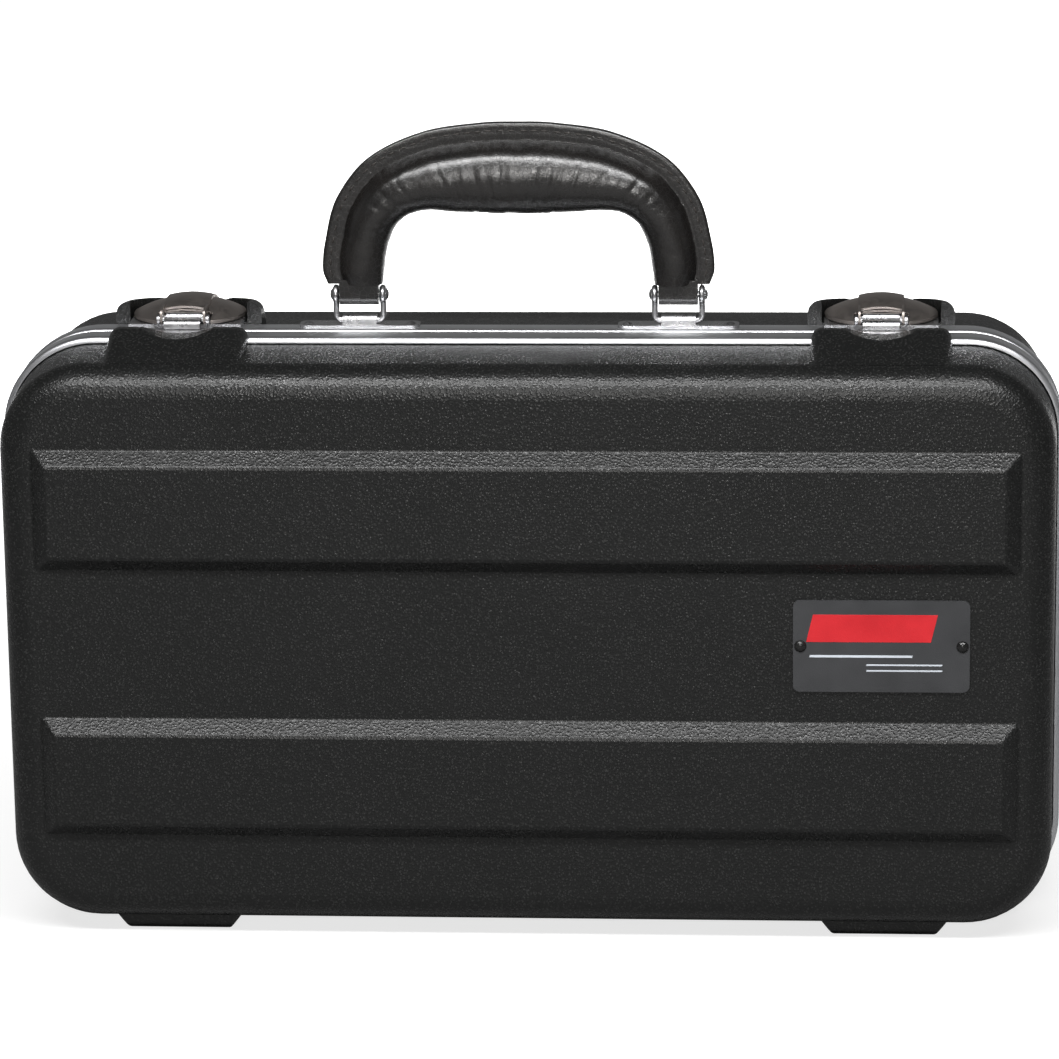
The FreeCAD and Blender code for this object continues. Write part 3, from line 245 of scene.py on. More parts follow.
def makeMottleGroup():
    # Slow change over a surface, such as handling marks, and specks of dust.
    m = mottle
    t, start, end = newGroup("mottle", "Scale", "NodeSocketFloat", m["scale"], ["Value", "Specks"])
    vector, scale = start["Vector"], start["Scale"]
    slow = t.node("ShaderNodeTexNoise", {"Vector": vector, "Scale": scale, "Detail": m["slowDetail"]})
    speckScale = t.maths("MULTIPLY", scale, m["speckScale"])
    dust = t.node("ShaderNodeTexNoise", {"Vector": vector, "Scale": speckScale, "Detail": m["speckDetail"]})
    t.fill(end["Value"], t.remap(slow.outputs["Fac"], *m["slowRange"], 0.0, 1.0))
    t.fill(end["Specks"], t.remap(dust.outputs["Fac"], *m["speckRange"], 0.0, 1.0))
    return t.tree


def makeBrushGroup():
    # Fine lines along a part: Stretch squeezes the pattern across the lines.
    b = brushing
    t, start, end = newGroup("brushLines", "Stretch", "NodeSocketVector", b["stretch"],
                             ["Lines", "Scratches"])
    pulled = t.node("ShaderNodeVectorMath", {0: start["Vector"], 1: start["Stretch"]},
                    operation="MULTIPLY")
    lines = t.node("ShaderNodeTexNoise", {
        "Vector": pulled.outputs[0], "Scale": b["lineScale"], "Detail": b["lineDetail"],
        "Roughness": b["lineRough"],
    })
    cuts = t.node("ShaderNodeTexNoise", {
        "Vector": start["Vector"], "Scale": b["cutScale"], "Detail": b["cutDetail"],
        "Distortion": b["cutBend"],
    })
    t.fill(end["Lines"], lines.outputs["Fac"])
    t.fill(end["Scratches"], t.remap(cuts.outputs["Fac"], *b["cutRange"], 0.0, 1.0))
    return t.tree


def makeHideGroup():
    # Leather: small and large cells with cracks between them, and a fine grain.
    h = hideGrain
    t, start, end = newGroup("hideGrain", "Scale", "NodeSocketFloat", h["scale"], ["Height", "Cracks"])
    vector, scale = start["Vector"], start["Scale"]
    largeScale = t.maths("MULTIPLY", scale, h["largeScale"])
    cells, big = (
        t.node("ShaderNodeTexVoronoi", {"Vector": vector, "Scale": size}, feature="DISTANCE_TO_EDGE")
        for size in (scale, largeScale)
    )
    fineScale = t.maths("MULTIPLY", scale, h["fineScale"])
    fine = t.node("ShaderNodeTexNoise", {"Vector": vector, "Scale": fineScale, "Detail": h["fineDetail"]})
    small = t.remap(cells.outputs["Distance"], 0.0, h["smallEdge"], 0.0, 1.0, smooth=True)
    large = t.remap(big.outputs["Distance"], 0.0, h["largeEdge"], 0.0, 1.0, smooth=True)
    height = t.maths("ADD", t.maths("MULTIPLY", small, h["smallShare"]),
                     t.maths("MULTIPLY", large, h["largeShare"]))
    height = t.maths("ADD", height, t.maths("MULTIPLY", fine.outputs["Fac"], h["fineShare"]))
    t.fill(end["Height"], height)
    t.fill(end["Cracks"], t.remap(large, 0.0, h["crackEdge"], h["crackDepth"], 0.0))
    return t.tree


pebbleGroup, mottleGroup = makePebbleGroup(), makeMottleGroup()
brushGroup, hideGroup = makeBrushGroup(), makeHideGroup()


# Shells: pebbled plastic with dust in its pits, and painted sparkle: the tops of its pebbles are painted
# lighter.
shellLook = {
    "colour": (0.0070, 0.0073, 0.0072), "crest": (0.030, 0.0305, 0.030), "dust": (0.07, 0.068, 0.064),
    "crestHeights": (0.66, 0.88), "shine": 0.42, "rough": (0.23, 0.29), "pitRough": 0.12,
    "marks": 22.0, "specks": 0.5, "grain": 1000.0, "bump": 0.8, "depth": 0.00016,
}


def makeShellMaterial():
    look = shellLook
    material, t, shader, vector = startMaterial("pebbledShell", {"Specular IOR Level": look["shine"]})
    grain = useGroup(t, pebbleGroup, {"Vector": vector, "Scale": look["grain"]})
    marks = useGroup(t, mottleGroup, {"Vector": vector, "Scale": look["marks"]})
    dusty = t.maths("MULTIPLY", grain["Pits"], t.maths("MULTIPLY", marks["Specks"], look["specks"]))
    # Painted highlight: the pebble crests get a lighter colour, standing in for the lamps' sparkle on them.
    sparkleMask = t.remap(grain["Height"], *look["crestHeights"], 0, 1)
    sparkledColour = t.blend(sparkleMask, look["colour"], look["crest"])
    t.fill(shader.inputs["Base Color"], t.blend(dusty, sparkledColour, look["dust"]))
    pitRough = t.maths("MULTIPLY", grain["Pits"], look["pitRough"])
    rough = t.maths("ADD", t.remap(marks["Value"], 0, 1, *look["rough"]), pitRough)
    t.fill(shader.inputs["Roughness"], rough)
    bump(t, shader, grain["Height"], look["bump"], look["depth"])
    return material


# Valances: aluminium brushed along the rim.
valanceLook = {
    "colours": ((0.70, 0.71, 0.735), (0.80, 0.81, 0.83)), "colourLines": (0.35, 0.65),
    "rough": (0.3, 0.4), "roughLines": (0.3, 0.7), "markRough": 0.05, "marks": 45.0,
    "stretch": (14, 2600, 14), "bump": 0.12, "depth": 0.0001,
}


def makeValanceMaterial():
    look = valanceLook
    material, t, shader, vector = startMaterial("brushedAluminium", {"Metallic": 1.0})
    brush = useGroup(t, brushGroup, {"Vector": vector, "Stretch": look["stretch"]})
    marks = useGroup(t, mottleGroup, {"Vector": vector, "Scale": look["marks"]})
    lines = t.remap(brush["Lines"], *look["colourLines"], 0, 1)
    t.fill(shader.inputs["Base Color"], t.blend(lines, *look["colours"]))
    rough = t.maths("ADD", t.remap(brush["Lines"], *look["roughLines"], *look["rough"]),
                    t.maths("MULTIPLY", marks["Value"], look["markRough"]))
    t.fill(shader.inputs["Roughness"], rough)
    bump(t, shader, brush["Lines"], look["bump"], look["depth"])
    return material


# Plated and plain steel: worn patches and fine scratches.
platedLook = {"roughSpan": 0.09, "marks": 120.0, "stretch": (400, 400, 400), "bump": 0.05, "depth": 0.0001}


def makePlatedMaterial(name, colour, worn, rough, scratch):
    look = platedLook
    material, t, shader, vector = startMaterial(name, {"Metallic": 1.0})
    brush = useGroup(t, brushGroup, {"Vector": vector, "Stretch": look["stretch"]})
    marks = useGroup(t, mottleGroup, {"Vector": vector, "Scale": look["marks"]})
    t.fill(shader.inputs["Base Color"], t.blend(marks["Value"], colour, worn))
    cuts = t.maths("MULTIPLY", brush["Scratches"], scratch)
    patches = t.remap(marks["Value"], 0, 1, rough, rough + look["roughSpan"])
    t.fill(shader.inputs["Roughness"], t.maths("ADD", patches, cuts))
    bump(t, shader, brush["Lines"], look["bump"], look["depth"])
    return material


# Handle: black leather with a soft dressing on it, and painted shade in its cracks.
hideLook = {
    "colour": (0.0048, 0.0044, 0.0041), "worn": (0.010, 0.0078, 0.0066), "crack": (0.004, 0.0035, 0.003),
    "wear": 0.7, "shine": 0.62, "coat": 0.7, "coatRough": 0.36, "rough": (0.19, 0.27),
    "crackRough": 0.25, "grain": 1250.0, "marks": 70.0, "bump": 0.5, "depth": 0.00010,
}


def makeHideMaterial():
    look = hideLook
    material, t, shader, vector = startMaterial("blackHide", {
        "Specular IOR Level": look["shine"], "Coat Weight": look["coat"],
        "Coat Roughness": look["coatRough"],
    })
    hide = useGroup(t, hideGroup, {"Vector": vector, "Scale": look["grain"]})
    marks = useGroup(t, mottleGroup, {"Vector": vector, "Scale": look["marks"]})
    wear = t.maths("MULTIPLY", marks["Value"], look["wear"])
    plain = t.blend(wear, look["colour"], look["worn"])
    # Painted shade: the cracks between the large cells are painted darker.
    t.fill(shader.inputs["Base Color"], t.blend(hide["Cracks"], plain, look["crack"]))
    crackRough = t.maths("MULTIPLY", hide["Cracks"], look["crackRough"])
    rough = t.maths("ADD", t.remap(marks["Value"], 0, 1, *look["rough"]), crackRough)
    t.fill(shader.inputs["Roughness"], rough)
    bump(t, shader, hide["Height"], look["bump"], look["depth"])
    return material


# Foam and felt: dull, with painted shade in their pores.
foamLook = {
    "rough": 0.95, "shine": 0.15, "sheen": 0.35, "sheenRough": 0.6, "poreShade": 0.4,
    "pores": 1500.0, "marks": 35.0, "bump": 0.9, "depth": 0.0005,
}


def makeFoamMaterial(name, colour, pale):
    look = foamLook
    material, t, shader, vector = startMaterial(name, {
        "Roughness": look["rough"], "Specular IOR Level": look["shine"],
        "Sheen Weight": look["sheen"], "Sheen Roughness": look["sheenRough"],
    })
    pores = useGroup(t, pebbleGroup, {"Vector": vector, "Scale": look["pores"]})
    marks = useGroup(t, mottleGroup, {"Vector": vector, "Scale": look["marks"]})
    tone = t.blend(marks["Value"], colour, pale)
    # Painted shade: the pores are painted darker than the foam round them.
    shadedPore = tuple(c * look["poreShade"] for c in colour)
    t.fill(shader.inputs["Base Color"], t.blend(pores["Pits"], tone, shadedPore))
    bump(t, shader, pores["Height"], look["bump"], look["depth"])
    return material


# Enamel and waxed thread.
paintLook = {
    "shine": 0.5, "lift": 1.18, "haze": 0.003, "roughSpan": 0.12, "grain": 2600.0, "marks": 90.0,
    "bump": 0.35, "depth": 0.00008,
}


def makePaintMaterial(name, colour, rough, depth=paintLook["depth"]):
    look = paintLook
    material, t, shader, vector = startMaterial(name, {"Specular IOR Level": look["shine"]})
    grain = useGroup(t, pebbleGroup, {"Vector": vector, "Scale": look["grain"]})
    marks = useGroup(t, mottleGroup, {"Vector": vector, "Scale": look["marks"]})
    faded = tuple(min(1, c * look["lift"] + look["haze"]) for c in colour)
    t.fill(shader.inputs["Base Color"], t.blend(marks["Value"], colour, faded))
    patches = t.remap(marks["Value"], 0, 1, rough, rough + look["roughSpan"])
    t.fill(shader.inputs["Roughness"], patches)
    bump(t, shader, grain["Height"], look["bump"], depth)
    return material


shellFinish = makeShellMaterial()
valanceFinish = makeValanceMaterial()
brightFinish = makePlatedMaterial("brightPlating", (0.56, 0.56, 0.57), (0.45, 0.45, 0.46), 0.24, 0.1)
smokyFinish = makePlatedMaterial("smokyPlating", (0.46, 0.42, 0.395), (0.38, 0.34, 0.315), 0.36, 0.05)
steelFinish = makePlatedMaterial("plainSteel", (0.52, 0.52, 0.53), (0.42, 0.42, 0.43), 0.3, 0.1)
hideFinish = makeHideMaterial()
foamFinish = makeFoamMaterial("softFoam", (0.028, 0.028, 0.031), (0.045, 0.045, 0.048))
denseFinish = makeFoamMaterial("denseFoam", (0.022, 0.022, 0.025), (0.036, 0.036, 0.04))
feltFinish = makeFoamMaterial("stuffingFelt", (0.30, 0.28, 0.25), (0.40, 0.375, 0.34))
plateFinish = makePaintMaterial("plateEnamel", (0.038, 0.039, 0.042), 0.42)
blackFinish = makePaintMaterial("blackEnamel", (0.008, 0.008, 0.008), 0.2)
redFinish = makePaintMaterial("redEnamel", (0.62, 0.012, 0.02), 0.38)
paleFinish = makePaintMaterial("paleEnamel", (0.62, 0.66, 0.72), 0.4)
threadFinish = makePaintMaterial("waxedThread", (0.03, 0.026, 0.023), 0.4, 0.0002)
print("materials made")


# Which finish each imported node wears. Nodes that aren't listed are bright plated steel.
nodeFinishes = [
    (shellFinish, ["lid_shell", "base_shell"]),
    (valanceFinish, ["lid_valance", "base_valance"]),
    (plateFinish, ["name_plate"]),
    (blackFinish, ["name_plate_rivets"]),
    (smokyFinish, ["latch_lever_left", "latch_lever_right"]),
    (steelFinish, ["handle_core", "hook_pin_left", "hook_pin_right", "hinge_pin_left", "hinge_pin_right"]),
    (foamFinish, ["lid_foam", "base_foam_pad"]),
    (denseFinish, ["base_foam_cutouts"]),
    (hideFinish, ["handle_cover"]),
    (feltFinish, ["handle_padding"]),
]


def dressNodes():
    given = {name: finish for finish, names in nodeFinishes for name in names}
    for name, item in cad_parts.items():
        item.data.materials.clear()
        item.data.materials.append(given.get(name, brightFinish))


dressNodes()
print("packed nodes dressed")


# How meshes are cleaned, and how every new piece is finished and tied to its body.
meshing = {
    "merge": 1e-6, "cadMerge": 2e-6, "flatAngle": 1.5,
    "bevelSteps": 3, "bevelAngle": 35,
}


def finishPiece(name, bm, finish, body, angle, stands=(), bevel=None):
    bmesh.ops.remove_doubles(bm, verts=bm.verts, dist=meshing["merge"])
    bmesh.ops.recalc_face_normals(bm, faces=bm.faces)
    mesh = bpy.data.meshes.new(name)
    bm.to_mesh(mesh)
    bm.free()
    mesh.shade_smooth()
    mesh.set_sharp_from_angle(angle=math.radians(angle))
    mesh.materials.append(finish)
    piece = bpy.data.objects.new(name, mesh)
    bpy.context.collection.objects.link(piece)
    if bevel:
        edges = piece.modifiers.new("roundedEdges", "BEVEL")
        edges.width, edges.segments, edges.limit_method = bevel, meshing["bevelSteps"], "ANGLE"
        edges.angle_limit = math.radians(meshing["bevelAngle"])
    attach(piece, body)
    if stands:
        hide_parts(*stands)
    return piece


def copyNode(node):
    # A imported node's mesh is loose triangles: they are merged, and flat ones joined.
    bm = bmesh.new()
    bm.from_mesh(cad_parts[node].data)
    bmesh.ops.remove_doubles(bm, verts=bm.verts, dist=meshing["cadMerge"])
    flat = math.radians(meshing["flatAngle"])
    bmesh.ops.dissolve_limit(bm, angle_limit=flat, verts=bm.verts, edges=bm.edges)
    return bm


def everything(bm):
    return bm.verts[:] + bm.edges[:] + bm.faces[:]


def vertsIn(geom):
    return [g for g in geom if isinstance(g, bmesh.types.BMVert)]


def quarterTurn(steps):
    return [math.pi / 2 * i / steps for i in range(steps + 1)]


# Valances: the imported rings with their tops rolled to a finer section.
# Each roll lists the distance from the parting and the height over the shell.
valance = {
    "partingY": -0.007, "half": 0.1974, "top": 0.2218, "bottom": 0.0043, "corner": 0.034,
    "least": 0.00035,  # what stands out less than this stays as packed
    "angle": 30,
    "lid": [
        (0.00015, 0.00145), (0.0006, 0.0018), (0.0015, 0.0022), (0.0026, 0.00235), (0.0060, 0.0024),
        (0.0112, 0.00235), (0.0118, 0.00226), (0.0123, 0.00205), (0.0127, 0.00172), (0.01298, 0.0013),
        (0.01314, 0.0009), (0.0132, 0.0007),
    ],
    "base": [
        (0.00015, 0.0010), (0.0002, 0.00132), (0.00035, 0.00172), (0.0006, 0.0021), (0.00092, 0.00238),
        (0.0013, 0.00255), (0.00175, 0.0026), (0.0050, 0.0026), (0.0085, 0.00245), (0.0118, 0.0021),
        (0.0125, 0.0019), (0.0130, 0.0016), (0.0132, 0.0011),
    ],
}


def rolledHeight(roll, reach):
    if reach <= roll[0][0]:
        return roll[0][1]
    for (a, low), (b, high) in zip(roll, roll[1:]):
        if reach <= b:
            return low + (high - low) * (reach - a) / (b - a)
    return roll[-1][1]


def rolledValance(node, name, body, toward, roll):
    v = valance
    bm = copyNode(node)
    for reach, _ in roll[1:-1]:
        place = (0, v["partingY"] + toward * reach, 0)
        bmesh.ops.bisect_plane(bm, geom=everything(bm), dist=meshing["merge"],
                               plane_co=place, plane_no=(0, 1, 0))
    limitX, lowZ, highZ = v["half"] - v["corner"], v["bottom"] + v["corner"], v["top"] - v["corner"]
    for vert in bm.verts:
        x, z = max(-limitX, min(limitX, vert.co.x)), max(lowZ, min(highZ, vert.co.z))
        centre = Vector((x, vert.co.y, z))
        away = vert.co - centre
        if away.length - v["corner"] > v["least"]:
            height = rolledHeight(roll, abs(vert.co.y - v["partingY"]))
            vert.co = centre + away.normalized() * (v["corner"] + height)
    finishPiece(name, bm, valanceFinish, body, v["angle"], [node])


rolledValance("lid_valance", "lidValance", "lid", -1, valance["lid"])
rolledValance("base_valance", "baseValance", "base", 1, valance["base"])
print("valances rolled")


# Handle: stitched leather over a stuffed roll.
grip = {
    "centre": (-0.005, 0.0005), "halfSpan": 0.074, "halfGap": 0.0505, "legEnd": 0.2408, "top": 0.3023,
    "bottom": 0.2674, "halfDepth": 0.0118, "rings": 220, "angle": 50,
    "shares": [  # outer x, outer z, inner x, inner z, depth
        (0.976, 0, 1.012, 0, 0.62), (1, 0.09, 1, 0.2, 0.7), (0.982, 0.28, 0.962, 0.59, 0.8),
        (0.922, 0.532, 0.88, 0.89, 0.88), (0.764, 0.772, 0.72, 1.045, 0.95),
        (0.486, 0.935, 0.436, 1.03, 1), (0.19, 0.993, 0.18, 1.004, 1), (0, 1, 0, 1, 1),
    ],
    "seamHeight": 0.0060, "seamHalf": 0.0017,
    # The seam's side, as distances and shares of its half width: down from its top, up from its foot.
    "seamTop": [(0, 0), (0, 0.55), (0.0003, 0.88), (0.0009, 1), (0.002, 1), (0.0031, 0.93), (0.0042, 1)],
    "seamFoot": [(0.0006, 0.96), (-0.0002, 0.86)],
    "rollStart": 9, "rollSteps": 27, "firstRise": 0.97, "neckPoints": 3, "neckShare": 0.9,
    "groove": 0.0052, "grooveShare": 0.35,  # the groove's reach round the roll and width at the seam
}
padding = {"inset": 0.0017, "steps": 36, "angle": 60}
creases = {
    # Each pattern: repeats per metre along the grip, per radian round it, and its place in the noise.
    "wide": (330, 0.8, 3.1), "narrow": (700, 1.3, 8.4), "narrowShare": 0.5,
    "middleReach": 0.2, "shoulderAt": 0.3, "shoulderReach": 0.12, "plainShare": 0.25, "shoulderShare": 0.55,
    "depth": 0.00042, "power": 1.2, "gain": 1.6, "lumpScale": 130, "lumps": 0.00022,
    "grainScale": 520, "grain": 0.00008, "seamGrain": 0.00012, "sink": 0.00015,
}
tip = {
    "width": 0.0148, "deep": 0.0072, "tall": 0.0092, "over": 0.1, "pinZ": 0.2366, "pinSpacing": 0.0603,
    "round": 0.46, "steps": 6,
}
stitch = {
    "pitch": 0.0042, "length": 0.0026, "thick": 0.00042, "wideShare": 1.7, "tallShare": 1.6,
    "drop": 0.0031, "lift": 0.00005, "sides": 8, "rings": 6, "angle": 70,
}


def gripStations():
    # Share and distance along, outer point, inner point and half depth, at even steps.
    g = grip
    rise, inner = g["top"] - g["legEnd"], g["bottom"] - g["legEnd"]
    rows = [
        (ox * g["halfSpan"], g["legEnd"] + oz * rise, ix * g["halfGap"], g["legEnd"] + iz * inner,
         depth * g["halfDepth"])
        for ox, oz, ix, iz, depth in g["shares"]
    ]
    rows = [(-a, b, -c, d, e) for a, b, c, d, e in rows[:-1]] + rows[::-1]
    lengths = [0.0]
    for last, row in zip(rows, rows[1:]):
        middle = [((p[0] + p[2]) / 2, (p[1] + p[3]) / 2) for p in (last, row)]
        lengths.append(lengths[-1] + math.dist(*middle))

    def slope(i, k):
        lo, hi = max(i - 1, 0), min(i + 1, len(rows) - 1)
        return (rows[hi][k] - rows[lo][k]) / (lengths[hi] - lengths[lo])

    stations = []
    for step in range(g["rings"] + 1):
        s = lengths[-1] * step / g["rings"]
        i = max(j for j in range(len(rows) - 1) if lengths[j] <= s)
        span = lengths[i + 1] - lengths[i]
        u = (s - lengths[i]) / span
        row = []
        for k in range(5):
            a, b, m, n = rows[i][k], rows[i + 1][k], slope(i, k) * span, slope(i + 1, k) * span
            row.append(a * (2 * u**3 - 3 * u**2 + 1) + m * (u**3 - 2 * u**2 + u)
                       + b * (3 * u**2 - 2 * u**3) + n * (u**3 - u**2))
        ox, oz, ix, iz, depth = row
        stations.append((s / lengths[-1], s, Vector((ox, 0, oz)), Vector((ix, 0, iz)), depth))
    return stations


def gripSection(height, depth, inset):
    # Half of the section from the seam's edge down to the palm, as (rise, half width) pairs.
    g = grip
    roll, half = height - g["seamHeight"], g["seamHalf"]
    middle = roll / 2
    if inset:
        turns = (math.pi * i / padding["steps"] for i in range(padding["steps"] + 1))
        return [(middle + (middle - inset) * math.cos(a), (depth - inset) * math.sin(a)) for a in turns]
    seam = [(height - drop, half * share) for drop, share in g["seamTop"]]
    seam += [(roll + rise, half * share) for rise, share in g["seamFoot"]]
    body = []
    start, least = math.radians(g["rollStart"]), g["grooveShare"]
    for i in range(g["rollSteps"] + 1):
        a = start + (math.pi - start) * i / g["rollSteps"]
        wide = math.sin(a)
        fromSeam = min(1.0, (middle - middle * math.cos(a)) / g["groove"])
        wide *= least + (1 - least) * fromSeam * (2 - fromSeam)
        rise = middle + middle * math.cos(a) * (1.0 if i else g["firstRise"])
        body.append((rise, max(depth * wide, half * g["neckShare"] if i < g["neckPoints"] else 0)))
    return seam + body


def noiseAt(place, scale):
    return noise.noise(Vector((place.x * scale, place.y * scale, place.z * scale)))


def creaseMove(place, share, s, turn, fine):
    # How far the leather moves out: deep folds in the middle and at the shoulders, then lumps.
    c = creases
    middle = max(0.0, 1 - abs(share - 0.5) / c["middleReach"])
    shoulder = max(0.0, 1 - abs(abs(share - 0.5) - c["shoulderAt"]) / c["shoulderReach"])
    wide, narrow = (noise.noise(Vector((s * along, turn * around, seed)))
                    for along, around, seed in (c["wide"], c["narrow"]))
    folds = wide + c["narrowShare"] * narrow
    depth = c["depth"] * (c["plainShare"] + middle + c["shoulderShare"] * shoulder)
    return (-depth * max(0.0, folds) ** c["power"] * c["gain"] + noiseAt(place, c["lumpScale"]) * c["lumps"]
            + fine * c["grain"] - c["sink"])


def gripMesh(inset):
    g = grip
    bm = bmesh.new()
    last = None
    for share, s, outer, inner, depth in gripStations():
        tall = (outer - inner).length
        rise = (outer - inner).normalized()
        half = gripSection(tall, depth, inset)
        loop = half + [(u, -v) for u, v in half[-2:0:-1]]
        ring = bmesh.ops.create_circle(bm, segments=len(loop), radius=0.01)["verts"]
        edges = list({e for v in ring for e in v.link_edges})
        centre = inner + rise * (tall - g["seamHeight"]) / 2
        for vert, (u, v) in zip(ring, loop):
            place = inner + rise * u + Vector((0, v, 0))
            if not inset:
                fine = noiseAt(place, creases["grainScale"])
                if u > tall - g["seamHeight"]:
                    place += Vector((0, math.copysign(1, v), 0)) * fine * creases["seamGrain"]
                else:
                    away = place - centre
                    away = away.normalized() if away.length > meshing["merge"] else rise
                    turn = math.atan2(v, u - tall / 2)
                    place += away * creaseMove(place, share, s, turn, fine)
            vert.co = place + Vector((g["centre"][0], g["centre"][1], 0))
        if last:
            bmesh.ops.bridge_loops(bm, edges=last + edges)
        else:
            bmesh.ops.contextual_create(bm, geom=edges)
        last = edges
    bmesh.ops.contextual_create(bm, geom=last)
    return bm


def addTips(bm):
    # Flat leather ends folded round the pins.
    (centreX, centreY), deep, tall = grip["centre"], tip["deep"], tip["tall"]
    for side in (-1, 1):
        block = bmesh.ops.create_cube(bm, size=1)["verts"]
        x = centreX + side * tip["pinSpacing"]
        for v in block:
            z = tip["pinZ"] + tall / 2 - deep / 2 + v.co.z * (tall + deep * tip["over"])
            v.co = Vector((x + v.co.x * tip["width"], centreY + v.co.y * deep, z))
        edges = list({e for v in block for e in v.link_edges})
        low = [e for e in edges if all(v.co.z < tip["pinZ"] for v in e.verts)
               and abs(e.verts[0].co.x - e.verts[1].co.x) > tip["width"] / 2]
        bmesh.ops.bevel(bm, geom=low, offset=deep * tip["round"], segments=tip["steps"], profile=0.5,
                        affect="EDGES", material=-1)


def makeHandle():
    bm = gripMesh(0)
    addTips(bm)
    cover = finishPiece("handleLeather", bm, hideFinish, "handle", grip["angle"],
                        ["handle_cover"])
    stuffing = finishPiece("handleStuffing", gripMesh(padding["inset"]), feltFinish, "handle",
                           padding["angle"], ["handle_padding"])


def makeStitches():
    g, t = grip, stitch
    bm = bmesh.new()
    seamLine = [outer - (outer - inner).normalized() * t["drop"] for _, _, outer, inner, _ in gripStations()]
    across = Vector((0, 1, 0))
    sizes = (t["length"], t["thick"] * t["wideShare"], t["thick"] * t["tallShare"], 1)
    travelled = 0.0
    for a, b in zip(seamLine, seamLine[1:]):
        travelled += (b - a).length
        if travelled < t["pitch"]:
            continue
        travelled -= t["pitch"]
        along = (b - a).normalized()
        turn = Matrix((along, across, along.cross(across))).transposed().to_4x4()
        for face in (-1, 1):
            thread = bmesh.ops.create_uvsphere(bm, u_segments=t["sides"], v_segments=t["rings"], radius=0.5)
            place = b + Vector((g["centre"][0], g["centre"][1] + face * (g["seamHalf"] + t["lift"]), 0))
            matrix = Matrix.Translation(place) @ turn @ Matrix.Diagonal(sizes)
            bmesh.ops.transform(bm, matrix=matrix, verts=thread["verts"])
    finishPiece("handleStitches", bm, threadFinish, "handle", t["angle"])


makeHandle()
makeStitches()
print("handle made")


# Latch levers: a pressed dome with a raised band and two side walls.
lever = {
    "places": {"left": -0.1315, "right": 0.1315}, "sheet": 0.0009, "edge": 0.00028, "angle": 35,
    "radius": 0.0214, "centreY": 0.011, "rimZ": 0.2266, "crownZ": 0.2334, "shoulder": 0.0013,
    "shoulderShare": 0.6, "crownInset": 0.0002, "crownSteps": 40, "spinSteps": 96, "notchHalf": 0.0103,
    "bandHalf": 0.0086, "bandCrown": 0.0011, "bandSteps": 30, "bandCuts": 9, "bandFront": -0.0026,
    "bandRear": 0.0005, "frontZ": 0.2325, "crestZ": 0.2346, "rearZ": 0.2295, "wallFoot": 0.0004,
    "nose": -0.0104, "noseLow": 0.2268, "noseRound": 0.0019, "noseSteps": 5, "noseChamfer": 0.6,
    "noseOverlap": 0.002, "noseRise": 0.0004,
}


def arcThrough(first, middle, last, steps):
    # Points on the circle through three points of a plane.
    (ax, ay), (bx, by), (cx, cy) = first, middle, last
    a, b, c = ax**2 + ay**2, bx**2 + by**2, cx**2 + cy**2
    d = 2 * (ax * (by - cy) + bx * (cy - ay) + cx * (ay - by))
    ux = (a * (by - cy) + b * (cy - ay) + c * (ay - by)) / d
    uy = (a * (cx - bx) + b * (ax - cx) + c * (bx - ax)) / d
    start, end = math.atan2(ay - uy, ax - ux), math.atan2(cy - uy, cx - ux)
    radius = math.dist(first, (ux, uy))
    turns = (start + (end - start) * i / steps for i in range(steps + 1))
    return [(ux + radius * math.cos(turn), uy + radius * math.sin(turn)) for turn in turns]


def chain(bm, points):
    verts = [bm.verts.new(point) for point in points]
    return verts, [bm.edges.new(pair) for pair in zip(verts, verts[1:])]


def leverDome(placeX):
    # The dome is spun, then notched in front for the band's side walls.
    v = lever
    bm = bmesh.new()
    radius, centre = v["radius"], Vector((placeX, v["centreY"], 0))
    rim, top = radius - v["crownInset"], v["rimZ"] + v["shoulder"]
    arch = arcThrough((rim, top), (0, v["crownZ"]), (-rim, top), v["crownSteps"])
    profile = [(radius, v["rimZ"]), (radius, v["rimZ"] + v["shoulder"] * v["shoulderShare"])]
    profile += arch[:v["crownSteps"] // 2] + [(0, v["crownZ"])]
    verts, edges = chain(bm, [centre + Vector((r, 0, z)) for r, z in profile])
    bmesh.ops.spin(bm, geom=verts + edges, cent=centre, axis=(0, 0, 1), angle=2 * math.pi,
                   steps=v["spinSteps"], use_merge=True)
    bmesh.ops.remove_doubles(bm, verts=bm.verts, dist=meshing["merge"])
    cuts = [((placeX - v["notchHalf"], 0, 0), (1, 0, 0)), ((placeX + v["notchHalf"], 0, 0), (1, 0, 0)),
            ((0, v["bandFront"], 0), (0, 1, 0))]
    for place, normal in cuts:
        bmesh.ops.bisect_plane(bm, geom=everything(bm), plane_co=place, plane_no=normal)
    gone = [f for f in bm.faces if abs(f.calc_center_median().x - placeX) < v["notchHalf"]
            and f.calc_center_median().y < v["bandFront"]]
    bmesh.ops.delete(bm, geom=gone, context="FACES")
    bmesh.ops.recalc_face_normals(bm, faces=bm.faces)
    bmesh.ops.solidify(bm, geom=bm.faces, thickness=v["sheet"])
    return bm


